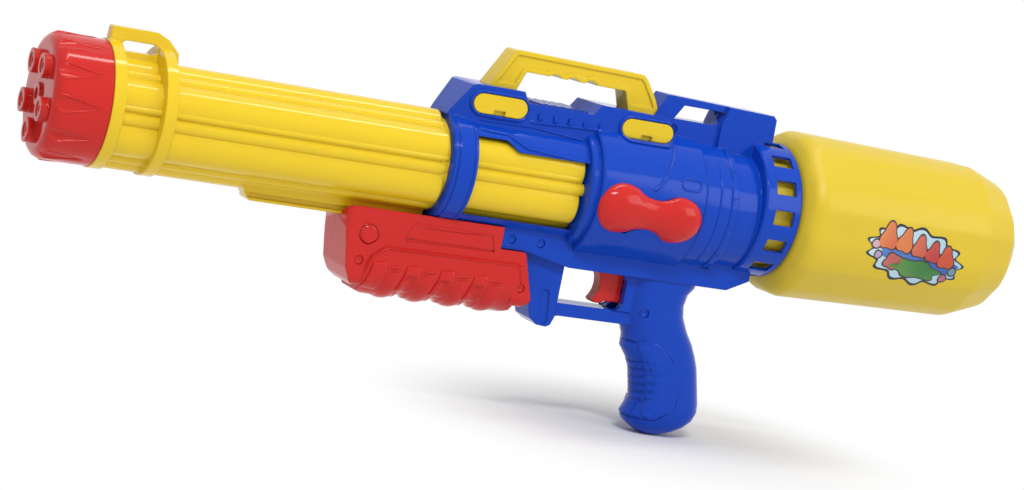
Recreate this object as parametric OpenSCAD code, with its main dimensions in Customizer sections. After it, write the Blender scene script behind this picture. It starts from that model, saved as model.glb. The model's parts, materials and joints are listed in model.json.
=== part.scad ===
// Pump-action toy water squirter with a screw-on bottle, in millimetres.
// X runs from the muzzle to the bottle, Z is up, and the left side faces -Y.

/* [Muzzle] */
// Radius of the muzzle cap
cap_r = 38.8; // [37:0.2:43]
// Length of the muzzle cap
cap_len = 35; // [30:1:45]
// Rounding of the cap's front edge
cap_round = 7; // [4:0.5:8]
// Wall of the cap's side
cap_wall = 4; // [3.4:0.1:5]
// Thickness of the cap's front face
cap_face = 3; // [2:0.25:5]
// Number of grip flutes round the cap
flute_count = 12; // [8:1:16]
// Depth of a flute at the cap's front
flute_depth = 2.4; // [1:0.1:2.6]
// Radius of the cutter that leaves a flute
flute_r = 8; // [5:0.5:10]
// Number of nozzles
nozzle_count = 5; // [3:1:5]
// Radius of a nozzle stub
nozzle_r = 7.6; // [5:0.2:8.2]
// Length of a nozzle stub
nozzle_len = 4.5; // [4:0.5:10]
// Radius of the circle of nozzles
nozzle_ring = 22.5; // [18:0.5:23]
// Radius of the cup in a nozzle's tip
cup_r = 4.6; // [2.5:0.1:4.8]
// Radius of the jet's hole
jet_r = 1.6; // [0.8:0.1:2.2]
// Length of the manifold behind the cap's face
manifold_len = 12; // [9:0.5:14]

/* [Barrel] */
// Length of the barrel from the cap to its rear end
barrel_len = 221; // [205:1:250]
// Radius of one of the six lobes
lobe_r = 13.4; // [12.6:0.1:14]
// Radius of the circle of lobes
lobe_ring = 21; // [20:0.1:21.5]
// Radius of the small rods in the valleys
rod_r = 4.6; // [3.6:0.1:5]
// Radius of the circle of rods
rod_ring = 27.4; // [26.6:0.1:28]
// Length by which the rods stand out at the rear
nub_len = 2; // [1:0.5:4]
// Wall of the barrel
barrel_wall = 2.2; // [1.6:0.1:2.6]
// Height by which the barrel's axis lies under the muzzle's
barrel_drop = 4; // [2:0.5:5]
// Radius of the two front hoops
hoop_r = 39.6; // [38.8:0.2:42]
// Width of a hoop
hoop_w = 7.5; // [5:0.5:10]
// Distance from the first hoop to the second
hoop_pitch = 32.5; // [28:0.5:42]
// Height of the sling fin over the hoops
fin_h = 8.5; // [7:0.5:12]
// Thickness of the sling fin
fin_t = 8; // [5:0.5:12]
// Height of the sling slot
slot_h = 6.4; // [5:0.2:7.4]
// Start of the keel
keel_x0 = 99; // [92:1:104]
// Width of the keel
keel_w = 18; // [16:0.5:22]
// Height of the keel under the barrel
keel_drop = 5.8; // [5:0.2:8]

/* [Body] */
// Wall of the body shells
wall = 2.4; // [1.8:0.1:2.8]
// Length of the ring that holds the barrel
ring_len = 17; // [12:1:24]
// Length of the side window
window_len = 79.5; // [70:0.5:95]
// Radius of the drum
drum_r = 45; // [43:0.5:47]
// Length of the step in front of the drum
rim_len = 6; // [4:0.5:6]
// Length of the drum
drum_len = 84; // [80:1:95]
// Length of the first step behind the drum
step_len = 24; // [18:1:32]
// Length of the second step behind the drum
step2_len = 19; // [15:1:26]
// Drop in radius at each step
step_drop = 2.3; // [1:0.1:3]
// Radius of the windowed collar
collar_r = 46; // [45.5:0.5:50]
// Length of the windowed collar
collar_len = 28; // [24:1:34]
// Number of windows round the collar
vent_count = 14; // [10:1:18]
// Length of a collar window
vent_len = 15; // [10:0.5:17]
// Width of a collar window
vent_w = 10; // [6:0.5:12]
// Width of the spine on top
spine_w = 40; // [36:1:42]
// Height of the spine's blocks over the axis
spine_top = 52; // [51:0.5:56]
// Height of the rail between the blocks
rail_top = 45; // [44:0.5:47]
// Number of teeth on the rail
tooth_count = 6; // [3:1:7]
// Width of the lower frame
frame_w = 36; // [34:1:40]
// Depth of the belly under the axis
belly_z = 56.5; // [55.5:0.5:60]
// Width of the rear sling bracket
bracket_w = 26; // [20:1:32]
// Height of the rear sling bracket over the axis
bracket_top = 66; // [64:0.5:72]

/* [Pistol grip and trigger] */
// Height of the muzzle's axis over the grip's base
base_h = 163; // [158:1:172]
// Width of the pistol grip
grip_w = 34; // [31:1:40]
// Number of grooves across the pistol grip
rib_count = 6; // [3:1:7]
// Lean of the pistol grip in degrees
grip_lean = 15.5; // [13:0.5:18]
// Width of the guard's front web
web_w = 24; // [20:1:30]
// Width of the trigger
trigger_w = 10; // [8:0.5:12]
// Travel of the trigger in degrees
trigger_turn = 13; // [8:1:14]
// Radius of the trigger's pin
pin_r = 2; // [1.5:0.1:2.4]
// Width of the guard's bar
guard_w = 20; // [14:1:26]
// Thickness of the guard's bar
guard_t = 8.5; // [7:0.5:10]

/* [Handle and inserts] */
// Height of the carry handle's top over the axis
handle_top = 77; // [75:0.5:84]
// Thickness of the carry handle's bar
handle_t = 13; // [10:0.5:14]
// Width of the carry handle
handle_w = 17; // [13:0.5:20]
// Length of a handle lug between its end centres
lug_len = 25; // [18:0.5:27]
// Radius of a handle lug's ends
lug_r = 6.3; // [5:0.1:7]
// Height by which a lug stands out of the cheek
lug_out = 1.4; // [0.6:0.1:2.5]
// Radius of the insert's front lobe
bone_r = 15.5; // [13:0.5:17]
// Height by which the insert's domes stand out of the drum
bone_out = 4.5; // [3:0.25:6]

/* [Pump] */
// Stroke of the pump grip
stroke = 56; // [40:1:57]
// Width of the pump grip over its flat sides
pump_w = 42; // [40:1:46]
// Length of the pump grip's upper edge
pump_len = 108; // [104:1:112]
// Depth of the pump grip under the axis
pump_z = 95; // [93:0.5:97]
// Number of finger swells
swell_count = 4; // [3:1:5]
// Radius of the rounded zone that the fingers hold
finger_r = 22.6; // [21.6:0.2:23.4]
// Height by which a finger swell stands out
swell_out = 1.4; // [0.8:0.1:2]
// Depth of the grooves between the swells
furrow_d = 1.8; // [1:0.1:2.2]
// Wall of the pump grip
pump_wall = 2.4; // [1.8:0.1:3]
// Radius of the pump rod
rod_shaft_r = 4; // [3:0.25:5]
// Bore radius of the pump cylinder
bore_r = 10.2; // [9:0.1:10.6]
// Wall of the pump cylinder
cyl_wall = 1.8; // [1.4:0.1:2]

/* [Bottle] */
// Half of the bottle's width across its flats
bottle_r = 56; // [52:0.5:62]
// Length of the bottle behind the collar
bottle_len = 199; // [180:1:240]
// Wall of the bottle
bottle_wall = 1.8; // [1.2:0.1:2.4]
// Radius of the bottle's neck
neck_r = 18.6; // [17:0.2:20]
// Radius of the bottle's drum inside the collar
boss_r = 39.5; // [36:0.5:41]
// Length of a label on the bottle's side
label_len = 78; // [60:1:84]
// Height of a label
label_h = 38; // [30:0.5:42]
// Pitch of the neck's thread
thread_pitch = 4; // [2:0.5:5]

/* [Water lines and fits] */
// Outer radius of the rigid tubes and hose barbs
line_r = 3; // [2.4:0.1:3.4]
// Wall of the rigid tubes
line_wall = 1; // [0.7:0.1:1.3]
// Wall of the hoses
hose_wall = 1.4; // [1:0.1:1.8]
// Play between a piece and its seat
fit = 0.15; // [0.1:0.05:0.25]
// Clearance of moving pieces
run = 0.4; // [0.3:0.05:0.6]

/* [Hidden] */
$fn = 64;
eps = 0.01;
reach = 900;
slip = 0.05;

// Stations along the axis
cap_x0 = -cap_len;
tip_x = cap_x0 - nozzle_len;
manifold_x0 = cap_x0 + cap_face;
manifold_x1 = manifold_x0 + manifold_len;
ring_x0 = barrel_len + nub_len + run;
ring_x1 = ring_x0 + ring_len;
drum_x0 = ring_x1 + window_len;
drum_x1 = drum_x0 + drum_len;
step_x1 = drum_x1 + step_len;
collar_x0 = step_x1 + step2_len;
collar_x1 = collar_x0 + collar_len;
bottle_gap = 1;
bottle_round = 1.03;
label_t = 0.3;
label_set = 87;
label_z = -9.5;
bottle_x0 = collar_x1 + bottle_gap;
bottle_x1 = bottle_x0 + bottle_len;
mid_x = (tip_x + bottle_x1) / 2;

// Barrel section
barrel_r = lobe_ring + lobe_r;
barrel_low = -barrel_drop - barrel_r;
core_in = rod_ring - barrel_wall;
spigot_r = cap_r - cap_wall - fit;
tail_r = barrel_r - 3.5;
flange_t = 3;
web_t = 3;
web_x0 = barrel_len - 17;
keel_z = barrel_low - keel_drop;
groove_d = 2.6;
groove_h = 3.4;
groove_z = keel_z + 1.8;

// Body section
tube_r = barrel_r + fit + wall;
rim_r = drum_r - 4;
band_in = 4;
band_out = 0.8;
edge = 1.2;
notch_len = 5;
step_r = drum_r - step_drop;
step2_r = step_r - step_drop;
block_x0 = ring_x1 + 34.5;
block_z = 50;
loop_in = 3;
web_top_x = block_x0 + 19.5;
web_back = 11;
guard_x0 = drum_x0 + 6.5;
guard_x1 = drum_x0 + 57;
guard_z = belly_z + 25;
guard_low = guard_z + guard_t;
grip_set = 85;
grip_x = drum_x0 + grip_set;
grip_deep = (base_h - guard_low) / 73;
front_foot_x = ring_x0 + 31.5;
rear_foot_x = drum_x0 + 42;
foot_z = rail_top - 4.5;
handle_x0 = front_foot_x - 6;
handle_x1 = rear_foot_x + 13;
nose_x = ring_x0 - 1.5;
nose_w = 28;

// Pump: the grip's rest place is against the body's front block
pump_x0 = block_x0 - run - pump_len;
cyl_z = -barrel_drop - 12;
cyl_r = bore_r + cyl_wall;
arm_x = pump_x0 + 13;
arm_len = 10;
arm_w = 6;
foot_len = 18;
foot_w = 14;
foot_h = 7;
foot_top = keel_z - 5;
mark_d = 1;
ridge_z = finger_r + swell_out - pump_z;
ridge_h = 12.5;
block_low = 87;
end_in = 6;
finger_x0 = pump_x0 + 25;
swell_x0 = finger_x0 + 13;
swell_x1 = web_top_x - 19.4;
heel_r = 8;
gland_gap = 5.5;
gland_x0 = arm_x + arm_len / 2 + gland_gap;
gland_len = 8;
head_x0 = drum_x0 + wall;
head_plug = 8;
piston_len = 12;
piston_x1 = head_x0 - head_plug - 2;
piston_x0 = piston_x1 - piston_len;
head_len = 15;
poppet_r = 4.4;
poppet_t = 3;
poppet_gap = 0.3;
poppet_lift = 2;

// Water lines
feed_z = 9;
feed_x1 = drum_x0 + 18;
barb_len = 9;
bend_r = 9;
valve_r = 8;
valve_set = 65;
valve_x0 = drum_x0 + valve_set;
valve_z = -(belly_z + 9.5);
valve_len = 30;
seat_t = 2;
seat_x = valve_x0 + 12;
out_x = valve_x0 + 7;
in_x = valve_x0 + 21;
stem_r = 2.2;
tip_r = 0.8;
tip_len = 2;
push_gap = run + 0.1;
disc_r = 4.6;
socket_r = 24;
socket_x1 = collar_x0 + 6;
thread_turns = 2;
socket_x0 = socket_x1 - thread_turns * thread_pitch - 20;
socket_face = 3;
neck_play = 0.4;
gasket_t = 2;
neck_x0 = socket_x0 + socket_face + gasket_t;
boss_x0 = socket_x1 + 3;
port_y = 11;
port_z = 4;
dip_z = -10;
dip_barb = socket_x0 - in_x - bend_r - 2 * run;

// Centres of the side insert's two lobes
bone_x0 = drum_x0 + 24;
bone_x1 = drum_x0 + 67.5;
bone_z0 = -barrel_drop - 6;
bone_z1 = bone_z0 - 2.5;

// Trigger
pin_x = drum_x0 + 46;
pin_z = -(belly_z - 6.5);
trigger_x0 = pin_x - 10;
finger_hollow = 14;
trigger_x1 = pin_x + 9;
trigger_swing = (guard_z + pin_z) * sin(trigger_turn);
toe_reach = pin_x - trigger_x0 + 2;
toe_z = pin_z - (guard_z + pin_z - 2 * run - toe_reach * sin(trigger_turn)) / cos(trigger_turn);

module gun() {
  translate([-mid_x, 0, base_h]) children();
}

module rod_x(x0, x1, r) {
  translate([x0, 0, 0]) rotate([0, 90, 0]) cylinder(h = x1 - x0, r = r);
}

// A rod with both end edges chamfered
module drum_x(x0, x1, r, c) {
  translate([x0, 0, 0]) rotate([0, 90, 0]) rotate_extrude()
    polygon([[0, 0], [r - c, 0], [r, c], [r, x1 - x0 - c], [r - c, x1 - x0], [0, x1 - x0]]);
}

module tube_x(x0, x1, ro, ri) {
  difference() {
    rod_x(x0, x1, ro);
    rod_x(x0 - eps, x1 + eps, ri);
  }
}

module rod_y(x, z, y0, y1, r) {
  translate([x, y0, z]) rotate([-90, 0, 0]) cylinder(h = y1 - y0, r = r);
}

module rod_z(x, z0, z1, r) {
  translate([x, 0, z0]) cylinder(h = z1 - z0, r = r);
}

// A side view drawn in X and Z, drawn out to a width
module side(w) {
  rotate([90, 0, 0]) linear_extrude(w, center = true) children();
}

// A cross-section drawn in Y and Z, drawn out along the axis
module along(x0, x1) {
  translate([x0, 0, 0]) rotate([90, 0, 90]) linear_extrude(x1 - x0) children();
}

module on_barrel() {
  translate([0, 0, -barrel_drop]) children();
}

module on_cylinder() {
  translate([0, 0, cyl_z]) children();
}

module half(s) {
  intersection() {
    children();
    translate([-reach, s < 0 ? -reach : 0, -reach]) cube([2 * reach, reach, 2 * reach]);
  }
}

module stadium(len, r) {
  square([len, 2 * r], center = true);
  for (s = [-1, 1]) translate([s * len / 2, 0]) circle(r);
}

module soften(r) {
  offset(r = r, $fn = 24) offset(delta = -r) children();
}

// Muzzle

module at_nozzles() {
  for (i = [0 : nozzle_count - 1])
    rotate([i * 360 / nozzle_count, 0, 0]) translate([0, 0, -nozzle_ring]) children();
}

module cap_form() {
  rotate([0, -90, 0]) rotate_extrude() {
    square([cap_r, cap_len - cap_round]);
    square([cap_r - cap_round, cap_len]);
    translate([cap_r - cap_round, cap_len - cap_round])
      intersection() {
        circle(cap_round);
        square(cap_round);
      }
  }
}

module flutes() {
  plain = 5;
  tilt = atan(flute_depth / (cap_len - plain));
  for (i = [0 : flute_count - 1])
    rotate([i * 360 / flute_count, 0, 0])
      translate([cap_x0, 0, cap_r - flute_depth + flute_r])
        rotate([0, 90 - tilt, 0]) cylinder(h = 3 * cap_len, r = flute_r, center = true);
}

module muzzle_cap() {
  hub_r = 7;
  hub_h = 1.5;
  cup_depth = 3;
  color("red") gun() difference() {
    union() {
      difference() {
        cap_form();
        flutes();
      }
      at_nozzles() rod_x(tip_x, manifold_x0, nozzle_r);
      rod_x(cap_x0 - hub_h, cap_x0 + eps, hub_r);
    }
    rod_x(manifold_x0, eps, cap_r - cap_wall);
    rod_x(cap_x0 - hub_h - eps, cap_x0, hub_r / 2);
    at_nozzles() {
      rod_x(tip_x - eps, tip_x + cup_depth, cup_r);
      rod_x(tip_x, manifold_x0 + eps, jet_r);
    }
  }
}

module nozzle_manifold() {
  r = spigot_r - barrel_wall / 2;
  skin = 2;
  inlet_len = 10;
  inlet_r = line_r + 2;
  color("whitesmoke") gun() difference() {
    union() {
      rod_x(manifold_x0, manifold_x1, r);
      translate([0, 0, feed_z]) rod_x(manifold_x1 - eps, manifold_x1 + inlet_len, inlet_r);
    }
    rod_x(manifold_x0 + skin, manifold_x1 - skin, r - 2 * skin);
    at_nozzles() rod_x(manifold_x0 - eps, manifold_x0 + 2 * skin, jet_r);
    translate([0, 0, feed_z]) rod_x(manifold_x1 - 2 * skin, manifold_x1 + inlet_len + eps, line_r + slip);
  }
}

module feed_tube() {
  color("whitesmoke") gun() translate([0, 0, feed_z]) tube_x(manifold_x1, feed_x1, line_r, line_r - line_wall);
}

// Barrel

module at_lobes() {
  for (i = [0 : 5]) rotate(60 * i + 30) translate([lobe_ring, 0]) children();
}

module at_rods() {
  for (i = [0 : 5]) rotate(60 * i) translate([rod_ring, 0]) children();
}

module barrel_outer() {
  circle(rod_ring);
  at_lobes() circle(lobe_r);
  at_rods() circle(rod_r);
}

module barrel_inner() {
  circle(core_in);
  at_lobes() circle(lobe_r - barrel_wall);
}

module keel_section() {
  z1 = -barrel_drop - lobe_ring;
  rise = 6;
  side(keel_w) polygon([
    [keel_x0, barrel_low + 2],
    [keel_x0 + rise, keel_z],
    [barrel_len, keel_z],
    [barrel_len, z1],
    [keel_x0, z1]
  ]);
}

module fin_form() {
  top = hoop_r + fin_h;
  end = hoop_pitch + hoop_w;
  root = barrel_r - barrel_drop - 1;
  side(fin_t) soften(1.5) polygon([
    [0.5, root],
    [1.5, top],
    [hoop_pitch - 2, top],
    [end - 2, top - 3.5],
    [end + 5, hoop_r - 2],
    [end + 6, root]
  ]);
}

module sling_slot() {
  x0 = hoop_w + 1.5;
  x1 = hoop_pitch - 0.5;
  z = hoop_r - 2.4;
  translate([(x0 + x1) / 2, 0, z]) side(4 * fin_t) stadium(x1 - x0 - slot_h, slot_h / 2);
}

module barrel_form() {
  on_barrel() along(0, barrel_len) barrel_outer();
  on_barrel() along(barrel_len - web_t, barrel_len + nub_len) at_rods() circle(rod_r - 0.4);
  rod_x(0, hoop_w, hoop_r);
  rod_x(hoop_pitch, hoop_pitch + hoop_w, hoop_r);
  rod_x(manifold_x1 + fit, eps, spigot_r);
  on_barrel() rod_x(barrel_len - web_t, ring_x1 - 1, tail_r);
  fin_form();
  keel_section();
}

module barrel_voids() {
  gap_x0 = arm_x - arm_len / 2 - stroke - 1;
  gap_x1 = arm_x + arm_len / 2 + 1;
  rod_x(manifold_x1 - eps, flange_t, spigot_r - barrel_wall);
  on_barrel() along(flange_t + 2, web_x0) barrel_inner();
  rod_x(flange_t - eps, flange_t + 2 + eps, core_in - barrel_drop);
  on_barrel() along(web_x0 + web_t, barrel_len - web_t) barrel_inner();
  on_barrel() rod_x(barrel_len - web_t - eps, ring_x1, tail_r - barrel_wall);
  on_cylinder() rod_x(web_x0 - eps, web_x0 + web_t + eps, cyl_r + fit);
  translate([0, 0, feed_z]) rod_x(web_x0 - eps, web_x0 + web_t + eps, line_r + fit);
  sling_slot();
  translate([gap_x0, -arm_w / 2 - run, keel_z - eps])
    cube([gap_x1 - gap_x0, arm_w + 2 * run, -barrel_drop - keel_z - core_in + 1]);
  for (s = [-1, 1])
    translate([keel_x0 - eps, s * keel_w / 2 - groove_d, groove_z])
      cube([barrel_len - keel_x0 + 1, 2 * groove_d, groove_h]);
}

module barrel_half(s) {
  half(s) difference() {
    barrel_form();
    barrel_voids();
  }
}

module barrel_left() {
  color("gold") gun() barrel_half(-1);
}

module barrel_right() {
  color("gold") gun() barrel_half(1);
}

module inner_barrel() {
  x0 = ring_x1 + fit;
  x1 = drum_x0 - nub_len - fit;
  color("gold") gun() on_barrel() difference() {
    union() {
      along(x0, x1) barrel_outer();
      along(x1 - web_t, drum_x0 - fit) at_rods() circle(rod_r - 0.4);
    }
    along(x0 - eps, drum_x0) barrel_inner();
  }
}

// Body

module spine_view() {
  low = barrel_r - barrel_drop - 1;
  root = 20;
  polygon([
    [nose_x, low],
    [nose_x + 2, low + 4],
    [nose_x + 13, spine_top - 1],
    [nose_x + 16, spine_top],
    [front_foot_x + 15.5, spine_top],
    [front_foot_x + 19.5, rail_top],
    [rear_foot_x - 40, rail_top],
    [rear_foot_x - 35, spine_top],
    [rear_foot_x + 14, spine_top - 1],
    [rear_foot_x + 20, spine_top - 10],
    [rear_foot_x + 20, root],
    [ring_x0, root],
    [ring_x0, low]
  ]);
}

// The spine's plan narrows at its nose
module spine_form(inset) {
  taper = 16;
  intersection() {
    side(spine_w - 2 * inset) offset(delta = -inset) spine_view();
    linear_extrude(reach) offset(delta = -inset) polygon([
      [nose_x, -nose_w / 2],
      [nose_x + taper, -spine_w / 2],
      [collar_x1, -spine_w / 2],
      [collar_x1, spine_w / 2],
      [nose_x + taper, spine_w / 2],
      [nose_x, nose_w / 2]
    ]);
  }
}

module belly_view() {
  root = 20;
  polygon([
    [block_x0, -root],
    [block_x0, -block_z],
    [web_top_x, -block_z],
    [guard_x0, -belly_z],
    [collar_x0 - 1, -belly_z],
    [collar_x0 + 15, -belly_z + 8],
    [collar_x0 + 15, -root]
  ]);
}

module guard_view() {
  foot = guard_low + 8;
  polygon([
    [web_top_x, -block_z + 2],
    [web_top_x, -block_z],
    [web_top_x + web_back, -guard_z],
    [web_top_x + web_back + 2, -guard_low + 1],
    [web_top_x + web_back + 4, -foot + 4],
    [web_top_x + web_back + 9, -foot + 0.6],
    [guard_x0 - 5, -foot],
    [guard_x0 - 2, -foot + 1.5],
    [guard_x0, -guard_low - 1],
    [guard_x0 + 3, -guard_low],
    [guard_x1 + 8, -guard_low],
    [guard_x1 + 8, -guard_z],
    [guard_x0, -guard_z],
    [guard_x0, -block_z + 2]
  ]);
}

// A section of the pistol grip below the guard: depth, front and back from the leaning axis, half width
function low_ring(d, front, back, w) =
  [-guard_low - d * grip_deep, lean_x(d) + front, lean_x(d) + back, w];

function lean_x(d) = grip_x + d * tan(grip_lean);

// Sections from the belly down to the grip's base
function grip_rings() = let (w = grip_w / 2) [
  [-block_z + 2, guard_x1, grip_x + 27, w],
  [-belly_z - 3, guard_x1, grip_x + 25, w],
  [-belly_z - 8, guard_x1, grip_x + 21, w],
  [-belly_z - 16, guard_x1, grip_x + 19.5, w],
  [-guard_z + 1, guard_x1, grip_x + 21, w],
  [-guard_low, guard_x1 + 5, grip_x + 26, w],
  low_ring(8, -21.5, 29.5, w),
  low_ring(16, -23.3, 31.5, w),
  low_ring(23, -19.5, 32.6, w),
  low_ring(30, -17.7, 32.6, w),
  low_ring(48, -18, 32.2, w),
  low_ring(54, -21.5, 31, w),
  low_ring(60, -26, 27, w - 0.8),
  low_ring(65, -25, 20.5, w - 2.5),
  low_ring(69, -20.5, 12, w - 5),
  low_ring(72, -15, 2, w - 9),
  low_ring(73, -11, -3, w - 12)
];

// Points round one section: half circles in front and behind, straight sides
function grip_points(ring, inset, n) =
  let (w = ring[3] - inset, r = min(w, (ring[2] - ring[1]) / 2 - inset))
    [for (k = [0 : n - 1]) let (a = (k + 0.5) * 360 / n) [
      cos(a) > 0 ? ring[2] - inset - r + r * cos(a) : ring[1] + inset + r + r * cos(a),
      w * sin(a),
      max(ring[0], -base_h + inset)
    ]];

module grip_form(inset, n) {
  rings = [for (ring = grip_rings()) if (ring[0] > -base_h + inset || ring[3] == grip_w / 2 - 12) ring];
  last = len(rings) - 1;
  points = [for (ring = rings) each grip_points(ring, inset, n)];
  walls = [for (i = [0 : last - 1], k = [0 : n - 1]) let (j = (k + 1) % n) each [
    [i * n + k, i * n + j, (i + 1) * n + j],
    [i * n + k, (i + 1) * n + j, (i + 1) * n + k]
  ]];
  top = [for (k = [n - 1 : -1 : 0]) k];
  base = [for (k = [0 : n - 1]) last * n + k];
  polyhedron(points, concat([top], walls, [base]));
}

module bracket_view() {
  polygon([
    [drum_x0 + 48, drum_r - barrel_drop - 6],
    [drum_x0 + 50, spine_top - 2],
    [drum_x0 + 58, bracket_top],
    [collar_x0 + 11, bracket_top - 2],
    [collar_x0 + 13.5, bracket_top - 4.5],
    [collar_x0 + 14, collar_r - 3],
    [collar_x0, drum_r - barrel_drop - 8]
  ]);
}

// The rear half of the bracket, which is wider than its loop
module bracket_block_view() {
  intersection() {
    bracket_view();
    polygon([
      [drum_x1 + 20, bracket_top],
      [drum_x1 + 16, spine_top],
      [drum_x1 + 16, 0],
      [collar_x1, 0],
      [collar_x1, bracket_top]
    ]);
  }
}

module bracket_gap_view() {
  z0 = 51;
  z1 = bracket_top - 5.5;
  x0 = drum_x0 + 65;
  x1 = drum_x1 + 14;
  polygon([[x0, z0], [x0 + 6, z1], [x1 + 5, z1], [x1, z0]]);
}

module body_form() {
  on_barrel() rod_x(ring_x0, drum_x0 + wall, tube_r);
  on_barrel() drum_x(ring_x0 + band_in, ring_x1, tube_r + band_out, band_out / 2);
  on_barrel() drum_x(drum_x0, drum_x0 + rim_len + edge, rim_r, edge);
  on_barrel() drum_x(drum_x0 + rim_len, drum_x1, drum_r, edge);
  on_barrel() rod_x(drum_x1 - edge - eps, step_x1, step_r);
  on_barrel() drum_x(step_x1 - notch_len, step_x1, step_r + band_out, band_out / 2);
  on_barrel() rod_x(step_x1 - eps, collar_x0 + wall, step2_r);
  drum_x(collar_x0, collar_x1, collar_r, edge);
  spine_form(0);
  side(bracket_w - 2 * loop_in) soften(1.2) bracket_view();
  side(bracket_w) bracket_block_view();
  side(frame_w) belly_view();
  side(web_w) guard_view_front();
  side(guard_w) guard_view();
  grip_form(0, 24);
  rail_teeth();
}

// The front web of the guard is wider than its bar
module guard_view_front() {
  intersection() {
    guard_view();
    translate([web_top_x - 20, -guard_low - 20]) square([guard_x0 - web_top_x + 20, guard_low + 20]);
  }
}

module rail_teeth() {
  x0 = front_foot_x + 28;
  x1 = rear_foot_x - 42;
  pitch = (x1 - x0) / tooth_count;
  for (i = [0 : tooth_count - 1])
    translate([x0 + i * pitch, -spine_w / 2, rail_top - 1])
      cube([pitch * 0.55, spine_w, 2.4]);
}

module body_void() {
  on_barrel() rod_x(ring_x0 - eps, ring_x1 + eps, tail_r + fit);
  on_barrel() rod_x(ring_x1, drum_x0, barrel_r + fit);
  on_barrel() rod_x(drum_x0 + rim_len + wall, drum_x1 - wall, drum_r - wall);
  on_barrel() rod_x(drum_x0 + wall, step_x1 - wall, rim_r - wall);
  on_barrel() rod_x(drum_x0 + wall, collar_x0 - wall, step2_r - wall);
  rod_x(collar_x0 + wall, collar_x1 + eps, collar_r - wall);
  rod_x(collar_x0 - wall - eps, collar_x0 + wall + eps, socket_r + fit);
  spine_form(wall);
  side(frame_w - 2 * wall) offset(delta = -wall) belly_view();
  grip_form(wall, 12);
  side(2 * bracket_w) bracket_gap_view();
  side(bracket_w - 2 * loop_in - 2 * wall) offset(delta = -wall) difference() {
    bracket_view();
    bracket_gap_view();
  }
  window_cut();
}

module window_cut() {
  top = 14;
  side(3 * drum_r) polygon([
    [ring_x1, -barrel_drop - 27],
    [ring_x1, top + 6],
    [ring_x1 + 21, top + 6],
    [ring_x1 + 29, top],
    [drum_x0, top],
    [drum_x0, -barrel_drop - 27]
  ]);
}

module collar_vents() {
  x = collar_x0 + wall + (collar_len - wall - vent_len) / 2;
  for (i = [0 : vent_count - 1])
    rotate([i * 360 / vent_count, 0, 0])
      translate([x, -collar_r - 1, -vent_w / 2]) cube([vent_len, collar_r / 2, vent_w]);
}

// Notches in the ring at the end of the first step
module step_notches() {
  w = 4;
  for (i = [0 : vent_count - 1])
    on_barrel() rotate([(i + 0.5) * 360 / vent_count, 0, 0])
      translate([step_x1 - notch_len + edge, -step_r - 1.4, -w / 2]) cube([notch_len, 1, w]);
}

// Bare raised frame on the left side of the drum
module name_plate() {
  len = 15;
  high = 8;
  intersection() {
    translate([drum_x1 - 13, -drum_r, 12]) side(drum_r) difference() {
      stadium(len - high, high / 2);
      stadium(len - high, high / 2 - 0.8);
    }
    on_barrel() tube_x(drum_x0, drum_x1, drum_r + 0.5, drum_r - wall / 2);
  }
}

// Side view of the insert: two lobes and a waist
module bone_view(grow) {
  waist = 0.62 * bone_r;
  cut_r = 1.6 * bone_r;
  mid = [(bone_x0 + bone_x1) / 2, (bone_z0 + bone_z1) / 2];
  translate([bone_x0, bone_z0]) circle(bone_r + grow);
  translate([bone_x1, bone_z1]) circle(bone_r - 1 + grow);
  difference() {
    translate([bone_x0, bone_z1 - bone_r + 2]) square([bone_x1 - bone_x0, 2 * bone_r - 3]);
    for (s = [-1, 1]) translate([mid[0], mid[1] + s * (waist + cut_r + grow)]) circle(cut_r);
  }
}

module bone_hole(s) {
  translate([0, s * drum_r, 0]) side(drum_r) bone_view(fit);
}

module screw_spots() {
  // Side places of the body screws, each with the half width of the body there
  spots = [
    [block_x0 + 7.5, -block_z + 6.5, frame_w / 2],
    [block_x0 + 28.5, -block_z + 6.5, frame_w / 2],
    [drum_x0 + 66, spine_top - 8, bracket_w / 2 - loop_in],
    [guard_x1 + 13, -guard_z + 1.5, grip_w / 2]
  ];
  for (p = spots) translate([p[0], 0, p[1]]) {
    $hw = p[2];
    children();
  }
}

boss_rad = 3.6;
screw_r = 1.4;
head_r = 2.8;
head_h = 2;
head_in = 8;

module post(s, r, y0, y1) {
  rod_y(0, 0, s < 0 ? -y1 : y0, s < 0 ? -y0 : y1, r);
}

module body_half(s) {
  half(s) difference() {
    union() {
      difference() {
        body_form();
        body_void();
      }
      screw_spots() post(s, boss_rad, 0, $hw - wall / 2);
      translate([pin_x, 0, pin_z]) post(s, pin_r + 2.4, trigger_w / 2 + run, frame_w / 2 - wall / 2);
      valve_rib();
      name_plate();
    }
    collar_vents();
    step_notches();
    grip_grooves();
    web_pocket(s);
    bone_hole(s);
    handle_cut();
    trigger_cut();
    translate([pin_x, 0, pin_z]) post(s, pin_r + slip / 2, 0, frame_w / 2 - wall / 2);
    on_cylinder() rod_x(drum_x0 - eps, drum_x0 + wall + eps, cyl_r + fit);
    translate([0, 0, feed_z]) rod_x(drum_x0 - eps, drum_x0 + wall + eps, line_r + fit);
    translate([0, 0, valve_z]) rod_x(valve_x0 - 1, valve_x0 + valve_len + 3, valve_r + fit);
    screw_spots() {
      post(s, screw_r + slip, -eps, s < 0 ? $hw : $hw - wall);
      if (s < 0) post(s, head_r + fit, $hw - head_in, $hw + 1);
    }
  }
}

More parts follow.
